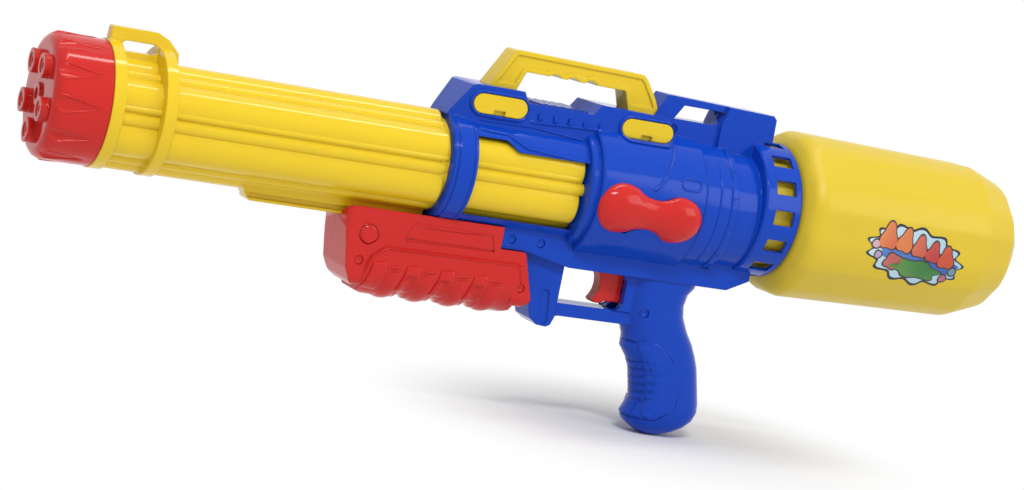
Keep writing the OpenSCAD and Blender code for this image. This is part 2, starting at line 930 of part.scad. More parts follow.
// Ribs and the outline of the panel on the pistol grip
module grip_grooves() {
  first = 21;
  pitch = 5.4;
  high = 1.6;
  deep = 0.7;
  difference() {
    union() {
      translate([grip_x, 0, -guard_low]) rotate([0, -grip_lean, 0])
        for (i = [0 : rib_count - 1])
          translate([-grip_w, -grip_w, -first - i * pitch]) cube([grip_w + 3, 2 * grip_w, high]);
      side(2 * grip_w) difference() {
        soften(6) panel_view();
        offset(delta = -1.2) soften(6) panel_view();
      }
    }
    grip_form(deep, 24);
  }
}

module panel_view() {
  polygon([
    [lean_x(10) - 2, -guard_low - 10 * grip_deep],
    [lean_x(20) + 8, -guard_low - 20 * grip_deep],
    [lean_x(36) + 12, -guard_low - 36 * grip_deep],
    [lean_x(52) + 8, -guard_low - 52 * grip_deep],
    [lean_x(62) - 8, -guard_low - 62 * grip_deep],
    [lean_x(62) - 3 * grip_w, -guard_low - 62 * grip_deep],
    [lean_x(10) - 3 * grip_w, -guard_low - 10 * grip_deep]
  ]);
}

module web_pocket(s) {
  translate([guard_x0 - 9, s * web_w / 2, -guard_low + 5]) side(2 * mark_d)
    rotate(97) stadium(17, 3.2);
}

// Cradle in the grip's root that the trigger valve lies in
module valve_rib() {
  t = 3;
  translate([seat_x, -grip_w / 2 + wall / 2, valve_z - valve_r - 4])
    cube([t, grip_w - wall, 2 * valve_r + 6]);
}

module trigger_cut() {
  w = trigger_w + 2 * run;
  translate([trigger_x0 - 4, -w / 2, -belly_z - eps]) cube([guard_x1 - trigger_x0 + 10, w, wall + 1]);
  translate([guard_x1 - 1, -w / 2, -guard_z + 0.5]) cube([trigger_x1 + trigger_swing + 2 * run - guard_x1 + 1, w, guard_z - belly_z + 2]);
}

module body_left() {
  color("royalblue") gun() body_half(-1);
}

module body_right() {
  color("royalblue") gun() body_half(1);
}

module body_screws() {
  color("silver") gun() screw_spots() {
    rod_y(0, 0, -$hw + head_in - head_h, -$hw + head_in, head_r);
    rod_y(0, 0, -$hw + head_in - eps, $hw - wall - 1, screw_r);
  }
}

// Carry handle

module handle_view() {
  in_top = handle_top - handle_t;
  base = foot_z - lug_r - 1;
  difference() {
    soften(3) polygon([
      [handle_x0, base],
      [handle_x0 + 1, spine_top],
      [handle_x0 + 15.5, handle_top],
      [handle_x1 - 17, handle_top - 1.5],
      [handle_x1 - 13.5, handle_top - 4.5],
      [handle_x1 - 5.5, handle_top - 16],
      [handle_x1 - 1, spine_top],
      [handle_x1, base]
    ]);
    soften(2) polygon([
      [handle_x0 + 20, base - 9],
      [handle_x0 + 20, spine_top - 1],
      [handle_x0 + 25, in_top],
      [handle_x1 - 28, in_top - 1],
      [handle_x1 - 24, spine_top - 1],
      [handle_x1 - 24, base - 9]
    ]);
    for (i = [0 : 2])
      translate([handle_x0 + 46 + i * 13, in_top - 4.5]) circle(6);
  }
}

module handle_lugs(grow, w) {
  for (x = [front_foot_x, rear_foot_x])
    translate([x, 0, foot_z]) side(w) stadium(lug_len, lug_r + grow);
}

module carry_handle() {
  notch = 8;
  color("gold") gun() difference() {
    union() {
      side(handle_w) handle_view();
      handle_lugs(0, spine_w + 2 * lug_out);
    }
    for (s = [-1, 1]) translate([0, s * handle_w / 2, 0]) side(2 * mark_d) offset(delta = -3) intersection() {
      handle_view();
      translate([0, spine_top]) square([reach, reach]);
    }
    for (x = [front_foot_x, rear_foot_x], s = [-1, 1])
      translate([x - notch / 2, s * (spine_w / 2 + lug_out) - 2, foot_z - lug_r - eps]) cube([notch, 4, 3]);
  }
}

module handle_cut() {
  side(handle_w + 2 * fit) offset(delta = fit) handle_view();
  handle_lugs(fit, 2 * spine_w);
}

// Side inserts

module side_insert(s) {
  dome = 1.5 * bone_r;
  y = dome - drum_r - bone_out;
  sag = 1;
  lip = 2;
  inner = drum_r - wall - fit;
  mirror([0, s > 0 ? 1 : 0, 0]) {
    intersection() {
      translate([0, -drum_r, 0]) side(drum_r) bone_view(0);
      union() {
        translate([bone_x0, y, bone_z0]) sphere(dome);
        translate([bone_x1, y + sag / 2, bone_z1]) sphere(dome);
        translate([0, y + sag, (bone_z0 + bone_z1) / 2]) rod_x(bone_x0, bone_x1, dome);
      }
      on_barrel() tube_x(drum_x0 + wall, drum_x1, 2 * drum_r, inner - lip);
    }
    intersection() {
      translate([0, -drum_r, 0]) side(drum_r) bone_view(lip);
      on_barrel() tube_x(drum_x0 + rim_len + wall + fit, drum_x1 - wall - fit, inner, inner - lip);
    }
  }
}

module side_insert_left() {
  color("red") gun() side_insert(-1);
}

module side_insert_right() {
  color("red") gun() side_insert(1);
}

// Pump

module pump_view() {
  soften(2.5) polygon([
    [pump_x0 + 1, -32],
    [pump_x0 + pump_len, -32],
    [pump_x0 + pump_len, -block_z - run],
    [web_top_x - run - 1, -block_z - run],
    [web_top_x + web_back - 2.6, -guard_z],
    [web_top_x + 4, -block_low],
    [web_top_x - 1, -block_low - 3],
    [swell_x1 + 10, -pump_z],
    [swell_x0 - 2, -pump_z],
    [pump_x0 + 26, -pump_z + 1.2],
    [pump_x0 + 16, -block_low - 3],
    [pump_x0 + 9, -block_low + 3],
    [pump_x0 + 5, -block_low + 11],
    [pump_x0, -45]
  ]);
}

// Flat-sided ends of the grip with their lower edges rounded
module end_section(inset) {
  w = pump_w / 2 - inset;
  r = heel_r - inset;
  low = -block_low + inset;
  translate([-w, low + r]) square([2 * w, pump_z]);
  translate([-w + r, low]) square([2 * w - 2 * r, pump_z]);
  for (s = [-1, 1]) translate([s * (w - r), low + r]) circle(r);
}

// Side view of the zone that the fingers hold, up to its ridge
module finger_view() {
  polygon([
    [finger_x0 + 5, ridge_z + ridge_h],
    [web_top_x - 2, ridge_z + ridge_h],
    [web_top_x - 2, -pump_z - 1],
    [finger_x0 - 8, -pump_z - 1],
    [finger_x0 - 6, ridge_z],
    [finger_x0 - 4, ridge_z + 5]
  ]);
}

module finger_section() {
  step = 1.5;
  intersection() {
    translate([0, ridge_z]) circle(finger_r);
    translate([-pump_w, ridge_z - pump_w]) square([2 * pump_w, pump_w]);
  }
  polygon([
    [-finger_r, ridge_z],
    [-finger_r, ridge_z + ridge_h - step],
    [-pump_w / 2, ridge_z + ridge_h],
    [pump_w / 2, ridge_z + ridge_h],
    [finger_r, ridge_z + ridge_h - step],
    [finger_r, ridge_z]
  ]);
}

// Part of a ring round the finger zone, from one side under it to the other
module finger_ring(x, ring_r, r, from) {
  translate([x, 0, ridge_z]) rotate([0, 90, 0]) rotate([0, 0, from - 90])
    rotate_extrude(angle = 180 - 2 * from) translate([ring_r, 0]) circle(r);
}

swell_pitch = (swell_x1 - swell_x0) / (swell_count - 1);

module at_swells(first, last) {
  for (i = [first : last]) translate([swell_x0 + i * swell_pitch, 0, 0]) children();
}

// Plan of the grip with its front edges rounded
module pump_plan() {
  r = 5;
  w = pump_w / 2 - r;
  translate([pump_x0, -w]) square([2 * pump_len, 2 * w]);
  translate([pump_x0 + r, -pump_w]) square([2 * pump_len, 2 * pump_w]);
  for (s = [-1, 1]) translate([pump_x0 + r, s * w]) circle(r);
}

module pump_form() {
  r = (finger_r + swell_out) / 2 - 0.5;
  intersection() {
    side(2 * pump_w) pump_view();
    translate([0, 0, -reach / 2]) linear_extrude(reach) pump_plan();
    union() {
      along(pump_x0 - 1, finger_x0) end_section(0);
      along(web_top_x - end_in, web_top_x + 20) end_section(0);
      translate([pump_x0, -pump_w / 2, ridge_z]) cube([web_top_x, pump_w, -ridge_z]);
      intersection() {
        along(finger_x0 - 10, web_top_x) finger_section();
        side(2 * pump_w) finger_view();
      }
      at_swells(0, swell_count - 1) finger_ring(0, finger_r + swell_out - r, r, 8);
    }
  }
}

module furrows() {
  r = 6;
  at_swells(0, swell_count - 2) finger_ring(swell_pitch / 2, finger_r + r - furrow_d, r, 12);
}

// Hollows of the grip: one behind the arm's pocket, one under it
module pump_void() {
  back_x = arm_x + foot_len / 2 + 2 * pump_wall;
  upper_w = pump_w / 2 - pump_wall - mark_d;
  intersection() {
    side(2 * pump_w) offset(delta = -pump_wall) pump_view();
    union() {
      translate([back_x, -upper_w, ridge_z]) cube([reach, 2 * upper_w, keel_z - run - pump_wall - ridge_z]);
      translate([0, 0, ridge_z]) rod_x(back_x, web_top_x - end_in - pump_wall, finger_r - furrow_d - pump_wall);
      difference() {
        along(pump_x0, back_x - pump_wall) end_section(pump_wall);
        translate([pump_x0 - 1, -pump_w, foot_top - foot_h - pump_wall]) cube([reach, 2 * pump_w, reach]);
      }
    }
  }
}

module pump_channel() {
  translate([pump_x0 - 5, -keel_w / 2 - run, keel_z - run]) cube([pump_len + 60, keel_w + 2 * run, keel_drop + 60]);
  on_barrel() rod_x(pump_x0 - 5, web_top_x + 30, tube_r + band_out + run);
}

// Lips that ride in the keel's grooves
module pump_lips(s) {
  y0 = keel_w / 2 - groove_d + run;
  y1 = keel_w / 2 + run + 1;
  mirror([0, s < 0 ? 1 : 0, 0]) translate([pump_x0 + 6, y0, groove_z + run])
    cube([pump_len - 60, y1 - y0, groove_h - 2 * run]);
}

pump_spots = [[pump_x0 + 13, 70], [web_top_x - 0.5, 74]];

module at_pump_screws() {
  for (p = pump_spots) translate([p[0], 0, -p[1]]) children();
}

module pump_marks() {
  y = -pump_w / 2;
  translate([pump_x0 + 16.5, y, -53]) rotate([90, 0, 0]) difference() {
    cylinder(h = 2 * mark_d, r = 6.5, center = true);
    cylinder(h = 3 * mark_d, r = 5.5, center = true);
  }
  translate([0, y, 0]) side(2 * mark_d) polygon([
    [pump_x0 + 47, -44],
    [pump_x0 + pump_len - 7, -43],
    [pump_x0 + pump_len - 4, -53],
    [pump_x0 + 42, -54]
  ]);
}

module pump_grip(s) {
  inner = pump_w / 2 - pump_wall;
  half(s) difference() {
    union() {
      difference() {
        pump_form();
        furrows();
        pump_void();
        pump_channel();
      }
      pump_lips(s);
      at_pump_screws() post(s, boss_rad, 0, inner + 0.6);
    }
    arm_pocket();
    for (t = [0, 1]) mirror([0, t, 0]) pump_marks();
    at_pump_screws() {
      post(s, screw_r + slip, -eps, inner - 3);
      if (s < 0) post(s, head_r + fit, inner - head_in, pump_w);
    }
  }
}

// Room in the grip for the rod's arm and foot
module arm_pocket() {
  translate([arm_x - arm_len / 2 - fit, -arm_w / 2 - fit, foot_top - 1])
    cube([arm_len + 2 * fit, arm_w + 2 * fit, 40]);
  translate([arm_x - foot_len / 2 - fit, -foot_w / 2 - fit, foot_top - foot_h])
    cube([foot_len + 2 * fit, foot_w + 2 * fit, foot_h]);
}

module pump_grip_left() {
  color("red") gun() pump_grip(-1);
}

module pump_grip_right() {
  color("red") gun() pump_grip(1);
}

module grip_screws() {
  inner = pump_w / 2 - pump_wall;
  color("silver") gun() at_pump_screws() {
    rod_y(0, 0, -inner + head_in - head_h, -inner + head_in, head_r);
    rod_y(0, 0, -inner + head_in - eps, inner - 4, screw_r);
  }
}

module pump_rod() {
  color("whitesmoke") gun() {
    on_cylinder() rod_x(arm_x - arm_len / 2, piston_x0, rod_shaft_r);
    translate([arm_x - arm_len / 2, -arm_w / 2, foot_top - eps]) cube([arm_len, arm_w, cyl_z - foot_top]);
    translate([arm_x - foot_len / 2, -foot_w / 2, foot_top - foot_h]) cube([foot_len, foot_w, foot_h]);
  }
}

ring_wire = 1.5;

module piston() {
  color("dimgray") gun() on_cylinder() difference() {
    rod_x(piston_x0, piston_x1, bore_r - 2 * slip);
    tube_x(piston_x0 + piston_len / 2 - ring_wire, piston_x0 + piston_len / 2 + ring_wire, bore_r + 1, bore_r - 2.2);
  }
}

module piston_o_ring() {
  x = piston_x0 + piston_len / 2;
  color("black") gun() on_cylinder() translate([x, 0, 0]) rotate([0, 90, 0])
    rotate_extrude() translate([bore_r - slip - 1, 0]) circle(1);
}

module pump_cylinder() {
  color("whitesmoke") gun() on_cylinder() tube_x(gland_x0 + 2, head_x0, cyl_r, bore_r);
}

module cylinder_gland() {
  color("gainsboro") gun() on_cylinder() difference() {
    union() {
      rod_x(gland_x0, gland_x0 + 2, cyl_r + 1);
      rod_x(gland_x0, gland_x0 + gland_len, bore_r - slip);
    }
    rod_x(gland_x0 - eps, gland_x0 + gland_len + eps, rod_shaft_r + slip);
  }
}

module cylinder_head() {
  room_x0 = head_x0 + 2.5;
  room_x1 = room_x0 + poppet_gap + poppet_t + poppet_lift + 0.8;
  end_x = head_x0 + head_len;
  color("gainsboro") gun() on_cylinder() difference() {
    union() {
      rod_x(head_x0 - head_plug, head_x0 + eps, bore_r - slip);
      rod_x(head_x0, end_x, cyl_r + 2);
      rod_x(end_x - eps, end_x + barb_len, line_r);
    }
    rod_x(head_x0 - head_plug - eps, room_x0 + eps, poppet_r / 2);
    rod_x(room_x0, room_x1, poppet_r + 0.6);
    rod_x(room_x1 - eps, end_x + barb_len + eps, line_r - line_wall);
  }
}

module valve_poppet() {
  x0 = head_x0 + 2.5 + poppet_gap;
  color("black") gun() on_cylinder() rod_x(x0, x0 + poppet_t, poppet_r);
}

// Water lines

// Two quarter bends that shift a hose sideways by twice their radius
module hose_shift(r) {
  translate([0, r, 0]) rotate([0, 0, -90]) rotate_extrude(angle = 90) translate([r, 0]) hose_ring();
  translate([2 * r, r, 0]) rotate([0, 0, 90]) rotate_extrude(angle = 90) translate([r, 0]) hose_ring();
}

module hose_ring() {
  difference() {
    circle(line_r + slip + hose_wall);
    circle(line_r + slip);
  }
}

module hose_x(x0, x1) {
  tube_x(x0, x1, line_r + slip + hose_wall, line_r + slip);
}

module pressure_hose() {
  x0 = head_x0 + head_len + run;
  x1 = socket_x0 - run;
  side_r = port_y / 2;
  rise_r = (port_z - cyl_z) / 2;
  side_x = x0 + barb_len;
  rise_x = x1 - barb_len - 2 * rise_r;
  color("lightgray") gun() {
    on_cylinder() hose_x(x0, side_x);
    translate([side_x, 0, cyl_z]) hose_shift(side_r);
    translate([0, port_y, cyl_z]) hose_x(side_x + 2 * side_r, rise_x);
    translate([rise_x, port_y, cyl_z]) rotate([90, 0, 0]) hose_shift(rise_r);
    translate([0, port_y, port_z]) hose_x(rise_x + 2 * rise_r, x1);
  }
}

module hose_down(x, z1, z0) {
  translate([x, 0, z0]) difference() {
    cylinder(h = z1 - z0, r = line_r + slip + hose_wall);
    translate([0, 0, -eps]) cylinder(h = z1 - z0 + 2 * eps, r = line_r + slip);
  }
}

hose_low = valve_z + valve_r + 1;

module feed_hose() {
  x0 = feed_x1 - barb_len;
  color("lightgray") gun() {
    translate([0, 0, feed_z]) hose_x(x0, out_x - bend_r);
    translate([out_x - bend_r, 0, feed_z - bend_r]) rotate([90, 0, 0])
      rotate_extrude(angle = 90) translate([bend_r, 0]) hose_ring();
    hose_down(out_x, feed_z - bend_r, hose_low);
  }
}

module supply_hose() {
  x1 = socket_x0 - run;
  color("lightgray") gun() {
    translate([0, 0, dip_z]) hose_x(in_x + bend_r, x1);
    translate([in_x + bend_r, 0, dip_z - bend_r]) rotate([90, 0, 0]) rotate([0, 0, 90])
      rotate_extrude(angle = 90) translate([bend_r, 0]) hose_ring();
    hose_down(in_x, dip_z - bend_r, hose_low);
  }
}

// Trigger and its valve

module trigger() {
  w = trigger_w;
  color("red") gun() difference() {
    side(w) soften(1.2) difference() {
      polygon([
        [trigger_x0 + 3, pin_z + 5],
        [trigger_x0, -belly_z - 2],
        [pin_x - toe_reach, toe_z + 2],
        [pin_x - toe_reach + 2, toe_z],
        [trigger_x0 + 5, toe_z],
        [trigger_x0 + 8, toe_z + 2],
        [trigger_x1, toe_z + 2],
        [trigger_x1, pin_z - 4],
        [pin_x + 5, pin_z + 5]
      ]);
      translate([trigger_x0 - finger_hollow, -belly_z - 10]) circle(finger_hollow + 2.5);
    }
    rod_y(pin_x, pin_z, -w, w, pin_r + slip);
  }
}

module trigger_pin() {
  y = frame_w / 2 - wall / 2 - fit;
  color("silver") gun() rod_y(pin_x, pin_z, -y, y, pin_r);
}

module valve_body() {
  room_r = valve_r - 2;
  x1 = valve_x0 + valve_len;
  top = valve_z + valve_r + barb_len;
  color("gainsboro") gun() difference() {
    union() {
      translate([0, 0, valve_z]) rod_x(valve_x0, x1, valve_r);
      for (x = [out_x, in_x]) rod_z(x, valve_z + room_r, top, line_r);
    }
    translate([0, 0, valve_z]) {
      rod_x(valve_x0 - eps, valve_x0 + 2.5, stem_r + slip);
      rod_x(valve_x0 + 2.4, seat_x, room_r);
      rod_x(seat_x - eps, seat_x + seat_t + eps, stem_r + 1.2);
      rod_x(seat_x + seat_t, x1 + eps, room_r);
    }
    for (x = [out_x, in_x]) rod_z(x, valve_z, top + eps, line_r - line_wall);
  }
}

plug_len = 3;

module valve_plug() {
  x1 = valve_x0 + valve_len;
  color("gainsboro") gun() translate([0, 0, valve_z]) {
    rod_x(x1, x1 + 2, valve_r);
    rod_x(x1 - plug_len, x1 + eps, valve_r - 2 - slip);
  }
}

seal_t = 2;
disc_t = 2.5;

module valve_stem() {
  seat_x1 = seat_x + seat_t;
  tail = 1.5;
  disc_x = seat_x1 + seal_t + 0.1;
  tip = trigger_x1 + push_gap;
  color("white") gun() translate([0, 0, valve_z]) {
    translate([tip, 0, 0]) rotate([0, 90, 0]) cylinder(h = tip_len + eps, r1 = tip_r, r2 = stem_r);
    rod_x(tip + tip_len, disc_x + eps, stem_r);
    rod_x(disc_x, disc_x + disc_t, disc_r);
    rod_x(disc_x, disc_x + disc_t + tail, stem_r);
  }
}

module valve_seal() {
  x0 = seat_x + seat_t;
  color("black") gun() translate([0, 0, valve_z]) tube_x(x0 + 0.1, x0 + seal_t + 0.1, disc_r, stem_r);
}

// Coil of the valve spring, one unbroken tube
module valve_spring() {
  turns = 3;
  wire = 0.45;
  rings = 8;
  sides = 6;
  coil_r = disc_r - wire - 0.3;
  x0 = seat_x + seat_t + seal_t + disc_t + wire + 0.4;
  x1 = valve_x0 + valve_len - plug_len - wire - 0.3;
  pitch = (x1 - x0) / turns;
  n = turns * rings;
  pts = [for (i = [0 : n], k = [0 : sides - 1])
    let (a = 360 * i / rings, b = 360 * k / sides, r = coil_r + wire * cos(b))
      [x0 + pitch * i / rings + wire * sin(b), r * cos(a), r * sin(a)]];
  walls = [for (i = [0 : n - 1], k = [0 : sides - 1])
    [i * sides + k, i * sides + (k + 1) % sides, (i + 1) * sides + (k + 1) % sides, (i + 1) * sides + k]];
  first = [for (k = [sides - 1 : -1 : 0]) k];
  last = [for (k = [0 : sides - 1]) n * sides + k];
  gap = min([for (i = [0 : n - rings]) norm(pts[(i + rings) * sides] - pts[i * sides])]) - 2 * wire;
  echo(spring_least_gap = gap);
  color("silver") gun() translate([0, 0, valve_z]) polyhedron(pts, concat([first], walls, [last]));
}

// Bottle and its socket

module bottle_socket() {
  flange_r = boss_r - 3;
  color("red") gun() difference() {
    union() {
      rod_x(socket_x0, socket_x1, socket_r);
      rod_x(collar_x0 + wall, collar_x0 + wall + 2.5, flange_r);
      translate([0, port_y, port_z]) rod_x(socket_x0 - barb_len, socket_x0 + eps, line_r);
      translate([0, 0, dip_z]) rod_x(socket_x0 - dip_barb, socket_x0 + eps, line_r);
    }
    rod_x(socket_x0 + socket_face, socket_x1 + eps, neck_r + neck_play);
    translate([0, port_y, port_z]) rod_x(socket_x0 - barb_len - eps, socket_x0 + socket_face + eps, line_r - line_wall);
    translate([0, 0, dip_z]) {
      rod_x(socket_x0 - dip_barb - eps, socket_x0 + socket_face + eps, line_r - line_wall);
      rod_x(socket_x0 + socket_face - 2, socket_x0 + socket_face + eps, line_r + slip);
    }
  }
}

module neck_gasket() {
  color("black") gun() tube_x(neck_x0 - gasket_t, neck_x0, neck_r - 0.2, neck_r - 4.6);
}

module dip_tube() {
  x0 = socket_x0 + socket_face - 2;
  color("whitesmoke") gun() translate([0, 0, dip_z]) tube_x(x0, bottle_x1 - 45, line_r, line_r - line_wall);
}

// Outline of the round bottle, from its shoulder to its end
module bottle_view(inset) {
  r = bottle_round * bottle_r - inset;
  x0 = bottle_x0 + inset;
  x1 = bottle_x1 - inset;
  end_len = 1.1 * bottle_r;
  bulge = 2.2;
  parts = 12;
  tail = [for (i = [0 : parts - 1]) let (a = 90 * i / parts)
    [r * pow(cos(a), 2 / bulge), x1 - end_len + end_len * pow(sin(a), 2 / bulge)]];
  polygon(concat([
    [0, x0],
    [collar_r - 2 - inset, x0],
    [collar_r + 2 - inset, x0 + 2],
    [r - 5, x0 + 7],
    [r - 1.5, x0 + 12],
    [r, x0 + 18]
  ], tail, [[0, x1]]));
}

module bottle_flats(turn, flat) {
  rotate([turn, 0, 0]) translate([bottle_x0 - bottle_r, -flat, -2 * bottle_r])
    cube([bottle_len + 2 * bottle_r, 2 * flat, 4 * bottle_r]);
}

module bottle_form(inset) {
  intersection() {
    rotate([0, 90, 0]) rotate_extrude() bottle_view(inset);
    bottle_flats(0, bottle_r - inset);
    bottle_flats(45, bottle_r - inset);
    bottle_flats(90, bottle_r - inset);
    bottle_flats(135, bottle_r - inset);
  }
}

module bottle() {
  neck_wall = 2;
  color("gold") gun() difference() {
    union() {
      bottle_form(0);
      rod_x(boss_x0, bottle_x0 + bottle_wall, boss_r);
      rod_x(neck_x0, boss_x0 + eps, neck_r);
    }
    bottle_form(bottle_wall);
    label_skin(fit);
    rod_x(boss_x0 + bottle_wall, bottle_x0 + 2 * bottle_wall, boss_r - bottle_wall);
    rod_x(neck_x0 - eps, boss_x0 + 2 * bottle_wall, neck_r - neck_wall);
  }
}

// Cloud outline of a label
module label_view() {
  lobe = 7;
  across = 5;
  x = label_len / 2 - lobe;
  z = label_h / 2 - lobe;
  step = 2 * x / (across - 1);
  square([2 * x, 2 * z], center = true);
  for (i = [0 : across - 1], s = [-1, 1]) translate([-x + i * step, s * z]) circle(lobe);
  for (s = [-1, 1]) translate([s * x, 0]) circle(lobe);
}

// The bottle's skin over the label's outline
module label_skin(grow) {
  intersection() {
    difference() {
      bottle_form(-grow);
      bottle_form(label_t);
    }
    translate([bottle_x0 + label_set, -bottle_r, label_z]) side(bottle_r) offset(delta = grow) label_view();
  }
}

module bottle_label() {
  color("white") gun() label_skin(0);
}

muzzle_cap();
nozzle_manifold();
barrel_left();
barrel_right();
inner_barrel();
feed_tube();
body_left();
body_right();
body_screws();
carry_handle();
side_insert_left();
side_insert_right();
pump_grip_left();
pump_grip_right();
grip_screws();
pump_rod();
piston();
piston_o_ring();
pump_cylinder();
cylinder_gland();
cylinder_head();
valve_poppet();
pressure_hose();
trigger();
trigger_pin();
valve_body();
valve_plug();
valve_stem();
valve_seal();
valve_spring();
feed_hose();
supply_hose();
bottle_socket();
neck_gasket();
dip_tube();
bottle();
bottle_label();
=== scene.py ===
import json
import math

import bmesh
import bpy
from mathutils import Matrix, Vector
from mathutils.bvhtree import BVHTree


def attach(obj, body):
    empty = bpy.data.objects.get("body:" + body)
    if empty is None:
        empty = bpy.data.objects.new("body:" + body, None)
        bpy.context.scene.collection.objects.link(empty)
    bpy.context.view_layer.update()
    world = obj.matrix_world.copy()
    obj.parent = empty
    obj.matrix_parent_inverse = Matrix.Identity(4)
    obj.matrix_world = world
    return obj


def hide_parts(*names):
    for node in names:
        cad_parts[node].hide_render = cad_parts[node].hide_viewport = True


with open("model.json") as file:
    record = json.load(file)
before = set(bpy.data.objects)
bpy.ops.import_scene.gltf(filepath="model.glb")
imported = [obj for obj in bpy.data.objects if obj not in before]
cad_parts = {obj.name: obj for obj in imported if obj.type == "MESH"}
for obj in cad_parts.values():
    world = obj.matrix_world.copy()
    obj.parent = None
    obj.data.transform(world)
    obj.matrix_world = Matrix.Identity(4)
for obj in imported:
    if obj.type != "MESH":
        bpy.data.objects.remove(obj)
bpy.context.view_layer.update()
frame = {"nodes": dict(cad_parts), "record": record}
nodes = frame["nodes"]
scene = bpy.context.scene
mm = 0.001
sides = ((-1, "Left"), (1, "Right"))  # the left side faces -y
print("frame loaded:", len(nodes), "nodes")


# places are written in mm from the muzzle's axis and brought into the part's frame here
frameShift = Vector((-317.7, 0, 163.0))


def at(x, y, z):
    return (Vector((x, y, z)) + frameShift) * mm


# camera

cameraSetup = {
    "place": (-431.1, -1524.8, 143.0),
    "yaw": 25.364,
    "elevation": 6.5,
    "roll": 11.358,  # the photograph holds the muzzle up
    "lens": 91.41,
    "sensor": 36.0,
    "clipEnd": 50.0,
}


def addCamera(setup):
    yaw = math.radians(setup["yaw"])
    elevation = math.radians(setup["elevation"])
    roll = math.radians(setup["roll"])
    forward = Vector((
        math.sin(yaw) * math.cos(elevation),
        math.cos(yaw) * math.cos(elevation),
        -math.sin(elevation),
    ))
    right = Vector((math.cos(yaw), -math.sin(yaw), 0))
    down = forward.cross(right)
    across = right * math.cos(roll) - down * math.sin(roll)
    below = right * math.sin(roll) + down * math.cos(roll)
    turn = Matrix((across, -below, -forward)).transposed()
    data = bpy.data.cameras.new("photoCamera")
    data.lens = setup["lens"]
    data.sensor_width = setup["sensor"]
    data.sensor_fit = "HORIZONTAL"
    data.clip_end = setup["clipEnd"]
    camera = bpy.data.objects.new("photoCamera", data)
    camera.matrix_world = Matrix.Translation(at(*setup["place"])) @ turn.to_4x4()
    scene.collection.objects.link(camera)
    scene.camera = camera


addCamera(cameraSetup)
scene.view_settings.view_transform = "Standard"
print("camera placed")


# small helpers for node trees

def newTree(name):
    material = bpy.data.materials.new(name)
    material.use_nodes = True
    tree = material.node_tree
    shader = next(n for n in tree.nodes if n.type == "BSDF_PRINCIPLED")
    return material, tree, shader


def addNode(tree, kind, **values):
    node = tree.nodes.new(kind)
    for key, value in values.items():
        if key in node.inputs:
            node.inputs[key].default_value = value
        else:
            setattr(node, key, value)
    return node


def newGroup(name, inputs, outputs):
    group = bpy.data.node_groups.new(name, "ShaderNodeTree")
    for label, kind, value in inputs:
        socket = group.interface.new_socket(label, in_out="INPUT", socket_type=kind)
        socket.default_value = value
    for label, kind in outputs:
        group.interface.new_socket(label, in_out="OUTPUT", socket_type=kind)
    return group, group.nodes.new("NodeGroupInput"), group.nodes.new("NodeGroupOutput")


# moulded skin: slow colour drift, fine grain in the gloss, and faint waviness of the mould
def mouldedSkinGroup():
    group, source, sink = newGroup(
        "mouldedSkin",
        [
            ("Tint", "NodeSocketColor", (0.8, 0.8, 0.8, 1)),
            ("Shade", "NodeSocketColor", (0.6, 0.6, 0.6, 1)),
            ("Drift", "NodeSocketFloat", 0.3),
            ("Gloss", "NodeSocketFloat", 0.3),
            ("Grain", "NodeSocketFloat", 0.08),
            ("Wave Scale", "NodeSocketFloat", 30.0),
        ],
        [
            ("Color", "NodeSocketColor"),
            ("Roughness", "NodeSocketFloat"),
            ("Height", "NodeSocketFloat"),
        ],
    )
    link = group.links.new
    place = addNode(group, "ShaderNodeTexCoord")
    slow = addNode(group, "ShaderNodeTexNoise", Scale=9.0, Detail=3.0, Roughness=0.5)
    fine = addNode(group, "ShaderNodeTexNoise", Scale=420.0, Detail=3.0, Roughness=0.6)
    wave = addNode(group, "ShaderNodeTexNoise", Detail=1.5, Roughness=0.4)
    for texture in (slow, fine, wave):
        link(place.outputs["Object"], texture.inputs["Vector"])
    link(source.outputs["Wave Scale"], wave.inputs["Scale"])
    spread = addNode(group, "ShaderNodeMapRange", **{"From Min": 0.35, "From Max": 0.7})
    link(slow.outputs["Fac"], spread.inputs["Value"])
    amount = addNode(group, "ShaderNodeMath", operation="MULTIPLY")
    link(spread.outputs["Result"], amount.inputs[0])
    link(source.outputs["Drift"], amount.inputs[1])
    tone = addNode(group, "ShaderNodeMix", data_type="RGBA")
    link(amount.outputs[0], tone.inputs["Factor"])
    link(source.outputs["Tint"], tone.inputs["A"])
    link(source.outputs["Shade"], tone.inputs["B"])
    centred = addNode(group, "ShaderNodeMath", operation="SUBTRACT")
    centred.inputs[1].default_value = 0.5
    link(fine.outputs["Fac"], centred.inputs[0])
    rough = addNode(group, "ShaderNodeMath", operation="MULTIPLY_ADD")
    link(centred.outputs[0], rough.inputs[0])
    link(source.outputs["Grain"], rough.inputs[1])
    link(source.outputs["Gloss"], rough.inputs[2])
    link(tone.outputs["Result"], sink.inputs["Color"])
    link(rough.outputs[0], sink.inputs["Roughness"])
    link(wave.outputs["Fac"], sink.inputs["Height"])
    return group


mouldedSkin = mouldedSkinGroup()
glowDepth = 4.0  # mm that light goes into a plastic


